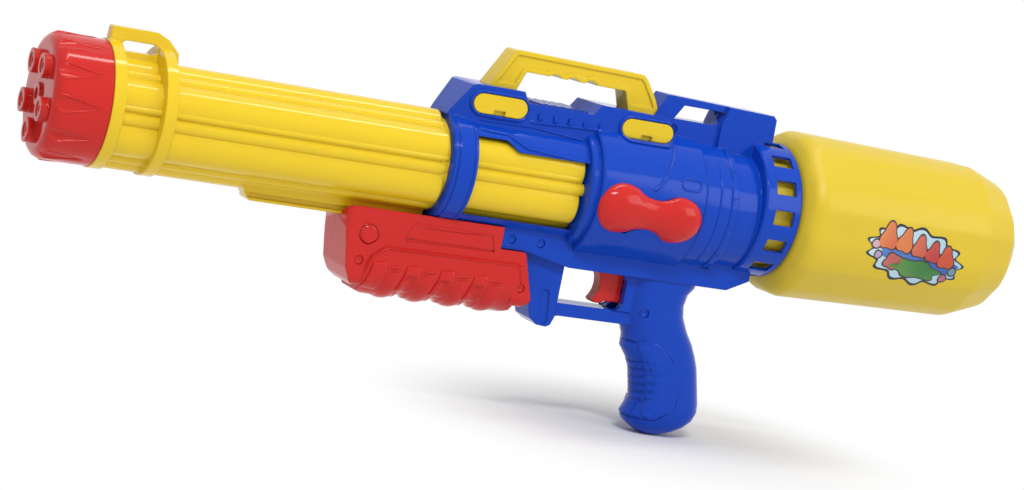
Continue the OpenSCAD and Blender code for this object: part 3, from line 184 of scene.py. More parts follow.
# a plastic, rubber or metal finish on the moulded skin, with its sharp edges softened in the light
def finish(name, tint, shade, drift=0.3, gloss=0.28, grain=0.06, waveScale=45.0, bump=0.02,
           edge=1.3, metal=0.0, specular=0.5, inside=0.0, glow=(1, 1, 1)):
    material, tree, shader = newTree(name)
    link = tree.links.new
    skin = addNode(
        tree, "ShaderNodeGroup", node_tree=mouldedSkin, Tint=(*tint, 1), Shade=(*shade, 1),
        Drift=drift, Gloss=gloss, Grain=grain, **{"Wave Scale": waveScale},
    )
    link(skin.outputs["Color"], shader.inputs["Base Color"])
    link(skin.outputs["Roughness"], shader.inputs["Roughness"])
    relief = addNode(tree, "ShaderNodeBump", Strength=bump, Distance=mm)
    link(skin.outputs["Height"], relief.inputs["Height"])
    if edge:
        soft = addNode(tree, "ShaderNodeBevel", samples=6, Radius=edge * mm)
        link(soft.outputs["Normal"], relief.inputs["Normal"])
    link(relief.outputs["Normal"], shader.inputs["Normal"])
    shader.inputs["Metallic"].default_value = metal
    shader.inputs["Specular IOR Level"].default_value = specular
    if inside:
        shader.inputs["Subsurface Weight"].default_value = inside
        shader.inputs["Subsurface Radius"].default_value = glow
        shader.inputs["Subsurface Scale"].default_value = glowDepth * mm
    return material


finishes = {
    "red": finish(
        "mouldedRed", (0.57, 0.018, 0.014), (0.51, 0.013, 0.010),
        gloss=0.1, grain=0.04, specular=0.24,
    ),
    "yellow": finish(
        "mouldedYellow", (0.77, 0.54, 0.016), (0.72, 0.49, 0.012),
        gloss=0.13, grain=0.04, specular=0.3, inside=0.12, glow=(1.0, 0.7, 0.1),
    ),
    "blue": finish(
        "mouldedBlue", (0.004, 0.053, 0.45), (0.003, 0.045, 0.41),
        gloss=0.1, grain=0.04, specular=0.17,
    ),
    "bottle": finish(
        "blownYellow", (0.67, 0.49, 0.028), (0.63, 0.45, 0.022),
        gloss=0.38, grain=0.1, waveScale=18, bump=0.06, edge=0,
        specular=0.3, inside=0.2, glow=(1.0, 0.8, 0.2),
    ),
    "white": finish("naturalWhite", (0.78, 0.78, 0.75), (0.70, 0.70, 0.67), gloss=0.4),
    "grey": finish("greyPlastic", (0.42, 0.43, 0.44), (0.36, 0.37, 0.38), gloss=0.42),
    "hose": finish(
        "clearGreyHose", (0.55, 0.58, 0.58), (0.47, 0.5, 0.5), gloss=0.3, inside=0.2,
    ),
    "rubber": finish(
        "blackRubber", (0.018, 0.018, 0.02), (0.03, 0.03, 0.032), gloss=0.6, grain=0.15,
    ),
    "steel": finish(
        "zincSteel", (0.32, 0.32, 0.33), (0.24, 0.24, 0.25), gloss=0.38, metal=1.0, edge=0.2,
    ),
    "label": finish("printedFilm", (0.80, 0.82, 0.80), (0.70, 0.76, 0.78), gloss=0.25, edge=0),
}


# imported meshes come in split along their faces: join them and smooth all but the real edges

shadeSetup = {
    "angle": 0.56,  # radians between faces that still look round
    "weld": 1e-6,
}


def softShadeGroup(setup):
    group = bpy.data.node_groups.new("softShade", "GeometryNodeTree")
    group.is_modifier = True
    newSocket = group.interface.new_socket
    newSocket("Geometry", in_out="INPUT", socket_type="NodeSocketGeometry")
    angle = newSocket("Angle", in_out="INPUT", socket_type="NodeSocketFloat")
    angle.default_value = setup["angle"]
    newSocket("Geometry", in_out="OUTPUT", socket_type="NodeSocketGeometry")
    link = group.links.new
    source = group.nodes.new("NodeGroupInput")
    sink = group.nodes.new("NodeGroupOutput")
    joined = addNode(group, "GeometryNodeMergeByDistance", Distance=setup["weld"])
    plain = addNode(group, "GeometryNodeRemoveAttribute", Name="custom_normal")
    turn = addNode(group, "GeometryNodeInputMeshEdgeAngle")
    below = addNode(group, "FunctionNodeCompare", data_type="FLOAT", operation="LESS_THAN")
    faces = addNode(group, "GeometryNodeSetShadeSmooth", domain="FACE")
    edges = addNode(group, "GeometryNodeSetShadeSmooth", domain="EDGE")
    link(source.outputs["Geometry"], plain.inputs["Geometry"])
    link(plain.outputs["Geometry"], joined.inputs["Geometry"])
    link(joined.outputs["Geometry"], faces.inputs["Geometry"])
    link(turn.outputs["Unsigned Angle"], below.inputs["A"])
    link(source.outputs["Angle"], below.inputs["B"])
    link(faces.outputs["Geometry"], edges.inputs["Geometry"])
    link(below.outputs["Result"], edges.inputs["Shade Smooth"])
    link(edges.outputs["Geometry"], sink.inputs["Geometry"])
    return group


softShade = softShadeGroup(shadeSetup)
slotOf = {part["node"]: part["material_slot"] for part in frame["record"]["subparts"]}
for name, node in nodes.items():
    node.data.materials.clear()
    node.data.materials.append(finishes[slotOf[name]])
    node.modifiers.new("softShade", "NODES").node_group = softShade
print("finishes laid on")


# new pieces ride on a body and wear the finish of one of the record's slots, or a material of their
# own; turn is the sharpest angle shaded round
def addPiece(name, points, faces, body, slotName, material=None, hides=(), turn=35, weld=1e-7):
    mesh = bpy.data.meshes.new(name)
    build = bmesh.new()
    made = [build.verts.new(p) for p in points]
    for face in faces:
        build.faces.new([made[i] for i in face])
    bmesh.ops.remove_doubles(build, verts=build.verts, dist=weld)
    bmesh.ops.recalc_face_normals(build, faces=build.faces)
    build.to_mesh(mesh)
    build.free()
    for face in mesh.polygons:
        face.use_smooth = True
    mesh.set_sharp_from_angle(angle=math.radians(turn))
    piece = bpy.data.objects.new(name, mesh)
    scene.collection.objects.link(piece)
    mesh.materials.append(material or finishes[slotName])
    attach(piece, body)
    if hides:
        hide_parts(*hides)


def rotated(u, v, angle):
    return (
        u * math.cos(angle) - v * math.sin(angle),
        u * math.sin(angle) + v * math.cos(angle),
    )


# a path of corners, each with the radius of its round
def roundPath(corners, closed=False, arcStep=math.radians(8)):
    path = []
    last = len(corners) - 1
    for i, (x, z, radius) in enumerate(corners):
        here = Vector((x, z))
        if not radius or (not closed and i in (0, last)):
            path.append((x, z))
            continue
        back = (Vector(corners[i - 1][:2]) - here).normalized()
        ahead = (Vector(corners[(i + 1) % len(corners)][:2]) - here).normalized()
        half = back.angle(ahead) / 2
        middle = here + (back + ahead).normalized() * radius / math.sin(half)
        start = here + back * radius / math.tan(half) - middle
        sweep = (math.pi - 2 * half) * (1 if back.cross(ahead) < 0 else -1)
        steps = max(2, math.ceil(abs(sweep) / arcStep))
        for k in range(steps + 1):
            dx, dz = rotated(start.x, start.y, sweep * k / steps)
            path.append((middle.x + dx, middle.y + dz))
    return path


# a round path, or a long one with straight stretches of half to each side of its middle
def ringPath(x, z, radius, half=0.0, count=36):
    path = []
    for k in range(count):
        angle = 2 * math.pi * k / count
        across = math.cos(angle)
        shift = half if across > 1e-6 else -half if across < -1e-6 else 0.0
        path.append((x + shift + radius * across, z + radius * math.sin(angle)))
    return path


# spots along a path, about a step apart, up to its last point but without it
def spotsAlong(path, step):
    spots = []
    for (x0, z0), (x1, z1) in zip(path, path[1:]):
        parts = max(1, round(math.hypot(x1 - x0, z1 - z0) / step))
        for i in range(parts):
            spots.append(Vector((x0 + (x1 - x0) * i / parts, z0 + (z1 - z0) * i / parts)))
    return spots


# skin over rows of points; a row is closed when wrap is set
def gridFaces(rows, count, wrap=True):
    faces = []
    for i in range(rows - 1):
        for k in range(count if wrap else count - 1):
            j = (k + 1) % count
            faces.append((i * count + k, i * count + j, (i + 1) * count + j, (i + 1) * count + k))
    return faces


# the same skin over closed rows, with its first and last row filled
def cappedFaces(rows, count):
    last = (rows - 1) * count
    return gridFaces(rows, count) + [tuple(range(count)), tuple(range(last, last + count))]


def joinParts(parts):
    points, faces = [], []
    for somePoints, someFaces in parts:
        start = len(points)
        points += somePoints
        faces += [tuple(start + i for i in face) for face in someFaces]
    return points, faces


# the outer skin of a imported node, to lay details on
def skinOf(name):
    node = nodes[name]
    points = [node.matrix_world @ v.co for v in node.data.vertices]
    return BVHTree.FromPolygons(points, [tuple(face.vertices) for face in node.data.polygons])


outside = 120.0  # mm from the axis, beyond all pieces, where a look at the skin starts


# lays a point of the side view on the skin, moved out by lift
def fromSide(skin, side, deepest, over=0.0):
    around = [(0, 0)] if not over else [(0, 0), (over, 0), (-over, 0), (0, over), (0, -over)]

    def lay(x, z, lift):
        y = deepest
        for dx, dz in around:  # the highest spot nearby bridges narrow grooves
            start = at(x + dx, side * outside, z + dz)
            spot = skin.ray_cast(start, Vector((0, -side, 0)))[0]
            y = max(y, side * spot.y / mm) if spot else y
        return at(x, side * (y + lift), z)
    return lay


# lays a point of the unrolled girth on the skin, looking at an axis along x
def fromRound(skin, axisHeight, girth):
    def lay(x, arc, lift):
        angle = arc / girth
        out = Vector((0, math.cos(angle), math.sin(angle)))
        start = at(x, 0, axisHeight) + out * outside * mm
        spot = skin.ray_cast(start, -out)[0] or start
        return spot + out * lift * mm
    return lay


# a line's section: shares of half its width and of its height
lineSection = [
    (-1.0, -0.5), (-0.85, 0.35), (-0.5, 0.85), (0.0, 1.0), (0.5, 0.85), (0.85, 0.35), (1.0, -0.5),
]


# a raised line with round flanks along a path on the skin
def skinLine(lay, path, width, height, step=1.6):
    spots = spotsAlong(path, step) + [Vector(path[-1])]
    last = len(spots) - 1
    points = []
    for i, spot in enumerate(spots):
        ahead = (spots[min(i + 1, last)] - spots[max(i - 1, 0)]).normalized()
        away = Vector((-ahead.y, ahead.x)) * width / 2
        ends = 0.0 if i in (0, last) else 1.0
        for across, rise in lineSection:
            lift = height * (rise * ends if rise > 0 else rise)
            points.append(lay(spot.x + away.x * across, spot.y + away.y * across, lift))
    return points, gridFaces(len(spots), len(lineSection), wrap=False)


# a pad's flank: shares of its ledge's width and of its height
padFlank = [(0.0, -0.5), (0.0, 0.2), (0.4, 0.8), (1.0, 1.0)]


# a raised pad over a closed outline on the skin, with a ledge all round
def skinPad(lay, outline, height, ledge=0.7, rings=7, step=1.6, relief=None):
    rim = spotsAlong(outline + outline[:1], step)
    count = len(rim)
    centre = sum(rim, Vector((0, 0))) / count
    reach = sum((spot - centre).length for spot in rim) / count
    scales = [(1 - share * ledge / reach, rise) for share, rise in padFlank]
    scales += [((1 - ledge / reach) * (1 - (i + 1) / rings), 1.0) for i in range(rings - 1)]
    points = []
    for scale, rise in scales:
        for spot in rim:
            here = centre + (spot - centre) * scale
            extra = relief(here.x, here.y) if relief and rise == 1.0 else 0.0
            points.append(lay(here.x, here.y, height * rise + extra))
    last = len(points) - count
    return points, gridFaces(len(scales), count) + [tuple(range(last, last + count))]


# bottle: blown in a mould with eight soft flats, a slight taper and a bevelled end

bottleSetup = {
    "x": 475.9,
    "sag": -0.5,
    "corner": 1.022,  # radius over the corners against the flats
    "roundUntil": 4.0,  # the neck and the first of the shoulder have no flats
    "count": 128,
    # distance behind the collar, half the width across the flats, and the corner's round
    "corners": [
        (-20.0, 30.0, 0.0), (-20.0, 39.5, 0.6), (0.0, 39.5, 0.0), (0.0, 42.5, 0.0),
        (3.0, 55.98, 14.0), (146.5, 53.1, 14.0), (172.0, 44.4, 9.0), (190.0, 21.5, 24.0),
        (198.2, 8.5, 5.0), (199.0, 0.4, 0.0),
    ],
}
bottleProfile = roundPath(bottleSetup["corners"])


def bottleReach(angle, corner):
    flat = math.pi / 4
    off = abs((angle + flat / 2) % flat - flat / 2)
    return min(1 / math.cos(off), corner)


def bottleWidth(x):
    back = x - bottleSetup["x"]
    for (x0, w0), (x1, w1) in zip(bottleProfile, bottleProfile[1:]):
        if x0 <= back <= x1 and x1 > x0:
            return w0 + (w1 - w0) * (back - x0) / (x1 - x0)
    return bottleProfile[-1][1]


def bottlePoint(x, reach, angle):
    return at(x, reach * math.cos(angle), reach * math.sin(angle) + bottleSetup["sag"])


def addBottle(setup):
    count = setup["count"]
    points = []
    for back, width in bottleProfile:
        corner = setup["corner"] if back > setup["roundUntil"] else 1.0
        for k in range(count):
            angle = 2 * math.pi * k / count
            points.append(bottlePoint(setup["x"] + back, width * bottleReach(angle, corner), angle))
    faces = cappedFaces(len(bottleProfile), count)
    addPiece("bottleShell", points, faces, "water_bottle", "bottle", hides=("bottle",), turn=40)


addBottle(bottleSetup)
print("bottle blown")


# where a side view's point lies on the bottle's left side, found by halving the angle's range
def onBottle(x, z, lift, halvings=40):
    width = bottleWidth(x)
    high = z - bottleSetup["sag"]
    low, top = math.pi / 2, 3 * math.pi / 2
    for _ in range(halvings):
        angle = (low + top) / 2
        if width * bottleReach(angle, bottleSetup["corner"]) * math.sin(angle) > high:
            low = angle
        else:
            top = angle
    return bottlePoint(x, width * bottleReach(angle, bottleSetup["corner"]) + lift, angle)


# printed label: films of plain splash and drop shapes, one over the other

labelSetup = {
    "centre": (564.0, -10.5),
    "turn": -7.0,
    "lift": 0.10,
    "layer": 0.06,
    "rings": 9,
    "count": 108,
    "finish": {"drift": 1.0, "gloss": 0.26, "edge": 0, "bump": 0.01},
    "filmWaves": 60,
    "films": [
        # name, layer, centre, reach across and up, waves, wave depth, turn, colour, paler colour
        ("labelRim", 0, (0, 0), (38.5, 19.0), 13, 0.085, 0,
         (0.012, 0.014, 0.02), (0.02, 0.022, 0.03)),
        ("labelGround", 1, (0, 0), (36.6, 17.2), 13, 0.085, 0,
         (0.36, 0.55, 0.66), (0.66, 0.72, 0.74)),
        ("labelWaveBlue", 2, (1, -0.4), (33.0, 7.6), 7, 0.12, 0,
         (0.03, 0.10, 0.40), (0.16, 0.32, 0.58)),
        ("labelSplashGreen", 4, (4, -8.4), (19.5, 5.8), 6, 0.14, 2,
         (0.02, 0.16, 0.03), (0.30, 0.52, 0.10)),
        ("labelSwirlRed", 4, (-16, -7.6), (6.4, 5.2), 4, 0.12, 10,
         (0.40, 0.03, 0.03), (0.70, 0.36, 0.32)),
        ("labelDropOne", 4, (-25.0, 7.4), (6.4, 8.8), 3, 0.2, 4,
         (0.50, 0.04, 0.02), (0.80, 0.36, 0.12)),
        ("labelDropTwo", 4, (-11.2, 7.6), (5.8, 8.0), 3, 0.2, -5,
         (0.54, 0.07, 0.02), (0.82, 0.44, 0.14)),
        ("labelDropThree", 4, (1.6, 6.6), (5.4, 7.2), 3, 0.2, 3,
         (0.46, 0.04, 0.03), (0.80, 0.40, 0.18)),
        ("labelDropFour", 4, (13.4, 5.6), (5.2, 6.8), 3, 0.2, -3,
         (0.42, 0.03, 0.03), (0.78, 0.36, 0.16)),
        ("labelDropFive", 4, (25.0, 4.4), (5.8, 7.2), 3, 0.2, 6,
         (0.50, 0.06, 0.02), (0.82, 0.46, 0.18)),
        ("labelBubbleOne", 4, (-33.4, 0.6), (2.9, 2.6), 3, 0.05, 0,
         (0.46, 0.20, 0.26), (0.74, 0.56, 0.58)),
        ("labelBubbleTwo", 4, (-29.4, -6.0), (2.5, 2.3), 3, 0.05, 30,
         (0.30, 0.18, 0.38), (0.60, 0.50, 0.66)),
        ("labelBubbleThree", 4, (33.6, -3.0), (2.7, 2.5), 3, 0.05, 0,
         (0.12, 0.26, 0.36), (0.54, 0.68, 0.72)),
        ("labelBubbleFour", 4, (29.0, -9.0), (2.6, 2.3), 3, 0.05, 20,
         (0.42, 0.12, 0.16), (0.72, 0.46, 0.44)),
    ],
    # films over this layer have a dark outline on it
    "outlineLayer": 3,
    "outlineEdge": 1.0,
    "outlineTints": ((0.03, 0.022, 0.02), (0.05, 0.035, 0.03)),
}


def filmPatch(centre, reach, waves, depth, turn, layer, setup):
    rings, count = setup["rings"], setup["count"]
    way = -1 if waves == 3 else 1  # drops and bubbles point up
    points = []
    for i in range(rings + 1):
        for k in range(count):
            angle = 2 * math.pi * k / count
            swell = 1 + depth * math.sin(waves * angle) * way
            u = i / rings * reach[0] * swell * math.cos(angle)
            v = i / rings * reach[1] * swell * math.sin(angle)
            u, v = rotated(u, v, math.radians(turn))
            dx, dz = rotated(u + centre[0], v + centre[1], math.radians(setup["turn"]))
            lift = setup["lift"] + setup["layer"] * layer
            points.append(onBottle(setup["centre"][0] + dx, setup["centre"][1] + dz, lift))
    return points, gridFaces(rings + 1, count)


def addLabel(setup):
    under, edge = setup["outlineLayer"], setup["outlineEdge"]
    outlines = []
    for name, layer, centre, reach, waves, depth, turn, tint, pale in setup["films"]:
        film = filmPatch(centre, reach, waves, depth, turn, layer, setup)
        material = finish(name, tint, pale, waveScale=setup["filmWaves"], **setup["finish"])
        hides = ("bottle_label",) if layer == 0 else ()
        addPiece(name, *film, "water_bottle", "label", material=material, hides=hides, turn=60)
        if layer > under:
            wider = (reach[0] + edge, reach[1] + edge)
            outlines.append(filmPatch(centre, wider, waves, depth, turn, under, setup))
    material = finish("labelOutlines", *setup["outlineTints"], **setup["finish"])
    outline = joinParts(outlines)
    addPiece("labelOutlines", *outline, "water_bottle", "label", material=material, turn=60)


addLabel(labelSetup)
print("label printed")


# side inserts: two lobes and a waist, crowned over the drum

insertSetup = {
    "front": (342.0, -9.9, 16.5),  # place and radius of a lobe
    "rear": (386.6, -12.6, 15.4),
    "waist": 10.3,
    "neckRadius": 24.8,
    "neckReach": 14.0,
    "neckShift": 1.0,
    "blend": 3.0,  # softens the corner between a lobe and the neck
    "blendSwell": 0.75,
    "crown": 7.6,
    "waistCrown": 5.0,
    "drum": (45.0, -4.0),  # radius and height of its axis
    "sink": 0.6,
    "steps": 72,
    "across": 41,
}


# half the width and the crown at a place along the insert
def insertSection(t, length, setup):
    r0, r1 = setup["front"][2], setup["rear"][2]
    beyond = t - length
    lobe0 = math.sqrt(max(0.0, r0 * r0 - t * t))
    lobe1 = math.sqrt(max(0.0, r1 * r1 - beyond ** 2))
    lobe = max(lobe0, lobe1)
    neck = 0.0
    if 0 < t < length:
        off = min(abs(t - length / 2 - setup["neckShift"]), setup["neckReach"])
        bend = setup["neckRadius"]
        neck = setup["waist"] + bend - math.sqrt(bend ** 2 - off ** 2)
    near = max(setup["blend"] - abs(lobe - neck), 0.0) / setup["blend"]
    half = max(lobe, neck) + near * near * setup["blendSwell"]
    crown = setup["crown"]
    if t < 0:
        crown *= math.sqrt(max(0.0, 1 - (t / r0) ** 2))
    elif beyond > 0:
        crown *= math.sqrt(max(0.0, 1 - (beyond / r1) ** 2))
    share = min(1.0, max(0.0, t / length))
    dip = (setup["crown"] - setup["waistCrown"]) * math.sin(math.pi * share) ** 2
    return half, crown - dip


def addInsert(side, word, setup):
    x0, z0, r0 = setup["front"]
    x1, z1, r1 = setup["rear"]
    drumRadius, drumAxis = setup["drum"]
    steps, across = setup["steps"], setup["across"]
    length = math.hypot(x1 - x0, z1 - z0)
    along = ((x1 - x0) / length, (z1 - z0) / length)
    points = []
    for i in range(steps + 1):
        t = -r0 + (length + r0 + r1) * (0.5 - 0.5 * math.cos(math.pi * i / steps))
        half, crown = insertSection(t, length, setup)
        for k in range(across):
            u = -math.cos(math.pi * k / (across - 1))
            x = x0 + along[0] * t - along[1] * half * u
            z = z0 + along[1] * t + along[0] * half * u
            drumY = math.sqrt(drumRadius ** 2 - (z - drumAxis) ** 2)
            rise = crown * math.sqrt(max(0.0, 1 - u * u)) - setup["sink"]
            points.append(at(x, side * (drumY + rise), z))
    faces = gridFaces(steps + 1, across, wrap=False)
    hides = ("side_insert_" + word.lower(),)
    addPiece("sideInsert" + word, points, faces, "frame", "red", hides=hides, turn=60)


for side, word in sides:
    addInsert(side, word, insertSetup)
print("side inserts crowned")


# turned shapes: a profile of radius and depth, set on a side of the part or on its front
def turned(profile, place, axis, closed=True, count=40):
    points = []
    for radius, depth in profile:
        for k in range(count):
            angle = 2 * math.pi * k / count
            a, b = radius * math.cos(angle), radius * math.sin(angle)
            if axis == "y":
                points.append(at(place[0] + a, place[1] + depth, place[2] + b))
            else:
                points.append(at(place[0] + depth, place[1] + a, place[2] + b))
    skin = cappedFaces if closed else gridFaces
    return points, skin(len(profile), count)


# plugs over the screws of the left side, dished and in the shell's own colour
plugSetup = {
    "profile": [(2.9, 5.0), (2.9, 1.0), (2.6, 0.75), (1.5, 0.75), (1.2, 1.1), (0.2, 1.2)],
    "frame": [
        (282.4, -18.0, -43.5), (303.4, -18.0, -43.5), (385.9, -10.0, 44.0), (389.9, -16.6, -80.0),
    ],
    "pump": [(179.5, -21.0, -70.0), (293.9, -21.0, -74.0)],
}


def addPlugs(name, body, slotName, setup):
    parts = [turned(setup["profile"], place, "y") for place in setup[body]]
    addPiece(name, *joinParts(parts), body, slotName)


addPlugs("bodyPlugs", "frame", "blue", plugSetup)
addPlugs("pumpPlugs", "pump", "red", plugSetup)


# jet discs in the nozzles' cups
jetSetup = {
    "profile": [(4.55, 2.6), (4.55, 0.7), (4.2, 0.45), (2.6, 0.9), (1.7, 1.2), (1.6, 2.6)],
    "tip": -39.5,
    "ring": 22.5,
    "count": 5,
}


def addJets(setup):
    parts = []
    for i in range(setup["count"]):
        angle = 2 * math.pi * i / setup["count"]
        place = (setup["tip"], setup["ring"] * math.sin(angle), -setup["ring"] * math.cos(angle))
        parts.append(turned(setup["profile"], place, "x", closed=False))
    addPiece("nozzleJets", *joinParts(parts), "frame", "red")


addJets(jetSetup)
print("plugs and jets set in")


# crisp edges of the cap's flutes
fluteSetup = {
    "count": 12,
    "girth": 38.8,
    "axis": 0.0,
    "front": (-30.5, 5.6),  # place along the cap, and half the flute's width there
    "rear": (-6.5, 0.5),
    "width": 1.3,
    "height": 0.5,
}


def addFluteEdges(setup):
    lay = fromRound(skinOf("muzzle_cap"), setup["axis"], setup["girth"])
    parts = []
    for i in range(setup["count"]):
        middle = (math.pi / 2 + 2 * math.pi * i / setup["count"]) * setup["girth"]
        for way in (-1, 1):
            path = [(x, middle + way * half) for x, half in (setup["front"], setup["rear"])]
            parts.append(skinLine(lay, path, setup["width"], setup["height"]))
    addPiece("fluteEdges", *joinParts(parts), "frame", "red", turn=50)


addFluteEdges(fluteSetup)
print("flutes edged")


# cheeks of the grip's root beside the trigger, with round corners into the belly and the guard
cheekSetup = {
    "inner": 5.7,
    "outer": 11.6,
    "chamfer": 0.9,
    "outline": [
        (368.4, -56.4, 0), (374.9, -56.4, 6.5), (374.9, -81.8, 6.5),
        (368.4, -81.8, 0), (388.0, -81.8, 0), (388.0, -56.4, 0),
    ],
}


def addCheek(side, word, setup):
    outline = roundPath(setup["outline"], closed=True)
    count = len(outline)
    centre = (sum(p[0] for p in outline) / count, sum(p[1] for p in outline) / count)
    chamfer = setup["chamfer"]
    layers = [(setup["inner"], 0.0), (setup["outer"] - chamfer, 0.0), (setup["outer"], chamfer)]
    points = []
    for y, inset in layers:
        for x, z in outline:
            away = Vector((x - centre[0], z - centre[1]))
            away = away - away.normalized() * inset
            points.append(at(centre[0] + away.x, side * y, centre[1] + away.y))
    addPiece("rootCheek" + word, points, cappedFaces(len(layers), count), "frame", "blue")


for side, word in sides:
    addCheek(side, word, cheekSetup)
print("grip root closed")


# ribs beside the barrel's side rods, as long as the barrel and again in the body's window
ribSetup = {
    "ring": 30.5,
    "axis": -4.0,
    "angle": 13.0,
    "radius": 2.3,
    "count": 16,
    "lengths": [(4.0, 222.8), (240.6, 317.0)],
    "ends": [(0.0, 0.5), (0.6, 0.9), (1.4, 1.0)],  # distance from an end, and share of the radius
}


def addRibs(setup):
    angle = math.radians(setup["angle"])
    count, ends = setup["count"], setup["ends"]
    parts = []
    for side, _ in sides:
        y = side * setup["ring"] * math.cos(angle)
        z = setup["axis"] + setup["ring"] * math.sin(angle)
        for x0, x1 in setup["lengths"]:
            rows = [(x0 + inward, share) for inward, share in ends]
            rows += [(x1 - inward, share) for inward, share in reversed(ends)]
            points = []
            for x, share in rows:
                r = setup["radius"] * share
                for k in range(count):
                    turn = 2 * math.pi * k / count
                    points.append(at(x, y + r * math.cos(turn), z + r * math.sin(turn)))
            parts.append((points, cappedFaces(len(rows), count)))
    addPiece("barrelRibs", *joinParts(parts), "frame", "yellow")


addRibs(ribSetup)
print("ribs laid")


# pump grip: slanted finger rolls with a ledge on top, a raised line over them, button and plate
pumpSetup = {
    "deepest": 10.0,
    "rolls": (188.6, 23.6, 4),  # first roll's front top corner, pitch and number
    "roll": [
        (0.0, -69.2, 1.0), (9.9, -68.0, 2.5), (10.6, -76.0, 9.0),
        (7.4, -88.4, 1.5), (-4.2, -87.6, 1.5), (-1.2, -78.0, 12.0),
    ],
    "rollPad": {"height": 1.3, "ledge": 1.6, "rings": 14, "step": 1.0},
    "ledge": [(12.4, -71.6), (19.6, -70.9)],
    "ledgeLine": {"width": 2.2, "height": 1.1},
    "long": [
        (184.2, -84.9, 0), (186.0, -68.0, 9.0), (196.5, -59.5, 5.0),
        (290.6, -59.0, 3.5), (292.9, -70.5, 0),
    ],
    "longLine": {"width": 2.2, "height": 1.0},
    "button": (183.2, -52.2, 6.7),
    "buttonPad": {"height": 0.8, "ledge": 0.5},
    "plate": [(207.6, -52.2), (211.6, -41.6), (267.1, -41.6), (270.8, -52.2)],
    "platePad": {"height": 0.55, "ledge": 0.5},
}


def addPumpDetails(side, word, setup):
    lay = fromSide(skinOf("pump_grip_" + word.lower()), side, setup["deepest"])
    first, pitch, number = setup["rolls"]
    outline = roundPath(setup["roll"], closed=True)
    parts = []
    for i in range(number):
        shift = first + i * pitch
        roll = [(shift + x, z) for x, z in outline]
        ledge = [(shift + x, z) for x, z in setup["ledge"]]
        parts.append(skinPad(lay, roll, **setup["rollPad"]))
        parts.append(skinLine(lay, ledge, **setup["ledgeLine"]))
    parts.append(skinLine(lay, roundPath(setup["long"]), **setup["longLine"]))
    parts.append(skinPad(lay, ringPath(*setup["button"]), **setup["buttonPad"]))
    parts.append(skinPad(lay, setup["plate"], **setup["platePad"]))
    addPiece("fingerRolls" + word, *joinParts(parts), "pump", "red", turn=50)


for side, word in sides:
    addPumpDetails(side, word, pumpSetup)
print("finger rolls laid")


# body: window's rim, spine's line, drum's crease, rings, comb's teeth and rims of the handle's lugs
bodySetup = {
    "deepest": 14.0,
    "lines": [
        # path, width, height
        ([(242.5, 24.6), (261.9, 24.1), (274.8, 17.6), (317.4, 14.8)], 2.6, 1.2),
        ([(242.5, 30.0), (281.2, 30.6), (318.0, 27.4)], 2.0, 0.9),
        ([(278.0, 33.6), (334.0, 36.0)], 2.2, 1.2),
        ([(362.0, 4.4), (366.5, 7.6), (373.0, 15.4), (379.0, 27.4), (381.5, 34.0)], 3.2, 1.3),
        ([(403.2, 32.0), (403.2, 0.0), (403.2, -44.0)], 2.6, 0.9),
        ([(415.0, 30.0), (415.0, 0.0), (415.0, -42.0)], 2.2, 0.8),
        ([(225.2, 26.0), (225.2, 0.0), (225.2, -36.0)], 2.6, 1.1),
        ([(238.8, 26.0), (238.8, 0.0), (238.8, -36.0)], 2.6, 1.1),
    ],
    "teeth": [284.0, 295.0, 305.6, 316.6, 328.0],
    "tooth": (2.8, 35.6, 39.8),  # width, foot and top
    "toothPad": {"height": 1.6, "ledge": 0.4, "rings": 3, "step": 1.0},
    "rims": [254.9, 361.9],
    "rim": {"z": 40.5, "radius": 7.5, "half": 12.5, "count": 40},
    "rimLine": {"width": 2.4, "height": 2.0},
}


def addBodyDetails(side, word, setup):
    lay = fromSide(skinOf("body_" + word.lower()), side, setup["deepest"])
    parts = [skinLine(lay, *line) for line in setup["lines"]]
    width, low, high = setup["tooth"]
    for x in setup["teeth"]:
        front, rear = x - width / 2, x + width / 2
        outline = [(front, low), (rear, low), (rear, high), (front, high)]
        parts.append(skinPad(lay, outline, **setup["toothPad"]))
    for x in setup["rims"]:
        path = ringPath(x, **setup["rim"])
        parts.append(skinLine(lay, path + path[:1], **setup["rimLine"]))
    addPiece("bodyLines" + word, *joinParts(parts), "frame", "blue", turn=50)


for side, word in sides:
    addBodyDetails(side, word, bodySetup)
print("body lines laid")


# panels of the pistol grip with soft ridges across
gripSetup = {
    "deepest": 6.0,
    "outline": [
        (388.4, -98.0, 3.0), (405.0, -98.6, 8.0), (423.4, -115.0, 12.0),
        (427.0, -127.0, 14.0), (426.6, -143.2, 6.0), (411.4, -151.2, 6.0),
        (403.4, -150.2, 4.0), (404.0, -136.0, 12.0), (401.4, -120.0, 12.0),
    ],
    "pad": {"height": 0.55, "ledge": 1.4, "rings": 22, "step": 1.0},
    "bridge": 1.1,
    "ridge": 0.28,
    "pitch": 6.2,
    "ridgeTop": -104.0,
    "ridgeEnd": (407.0, 416.0),
}


def addGripPanel(side, word, setup):
    start, end = setup["ridgeEnd"]

    def ridges(x, z):
        fade = min(1.0, max(0.0, (end - x) / (end - start)))
        below = min(1.0, max(0.0, (setup["ridgeTop"] - z) / setup["pitch"]))
        return setup["ridge"] * fade * below * math.cos(2 * math.pi * z / setup["pitch"])

    lay = fromSide(skinOf("body_" + word.lower()), side, setup["deepest"], setup["bridge"])
    outline = roundPath(setup["outline"], closed=True)
    panel = skinPad(lay, outline, relief=ridges, **setup["pad"])
    addPiece("gripPanel" + word, *panel, "frame", "blue", turn=50)


for side, word in sides:
    addGripPanel(side, word, gripSetup)
print("grip panels laid")


# floor, backdrop and lamps

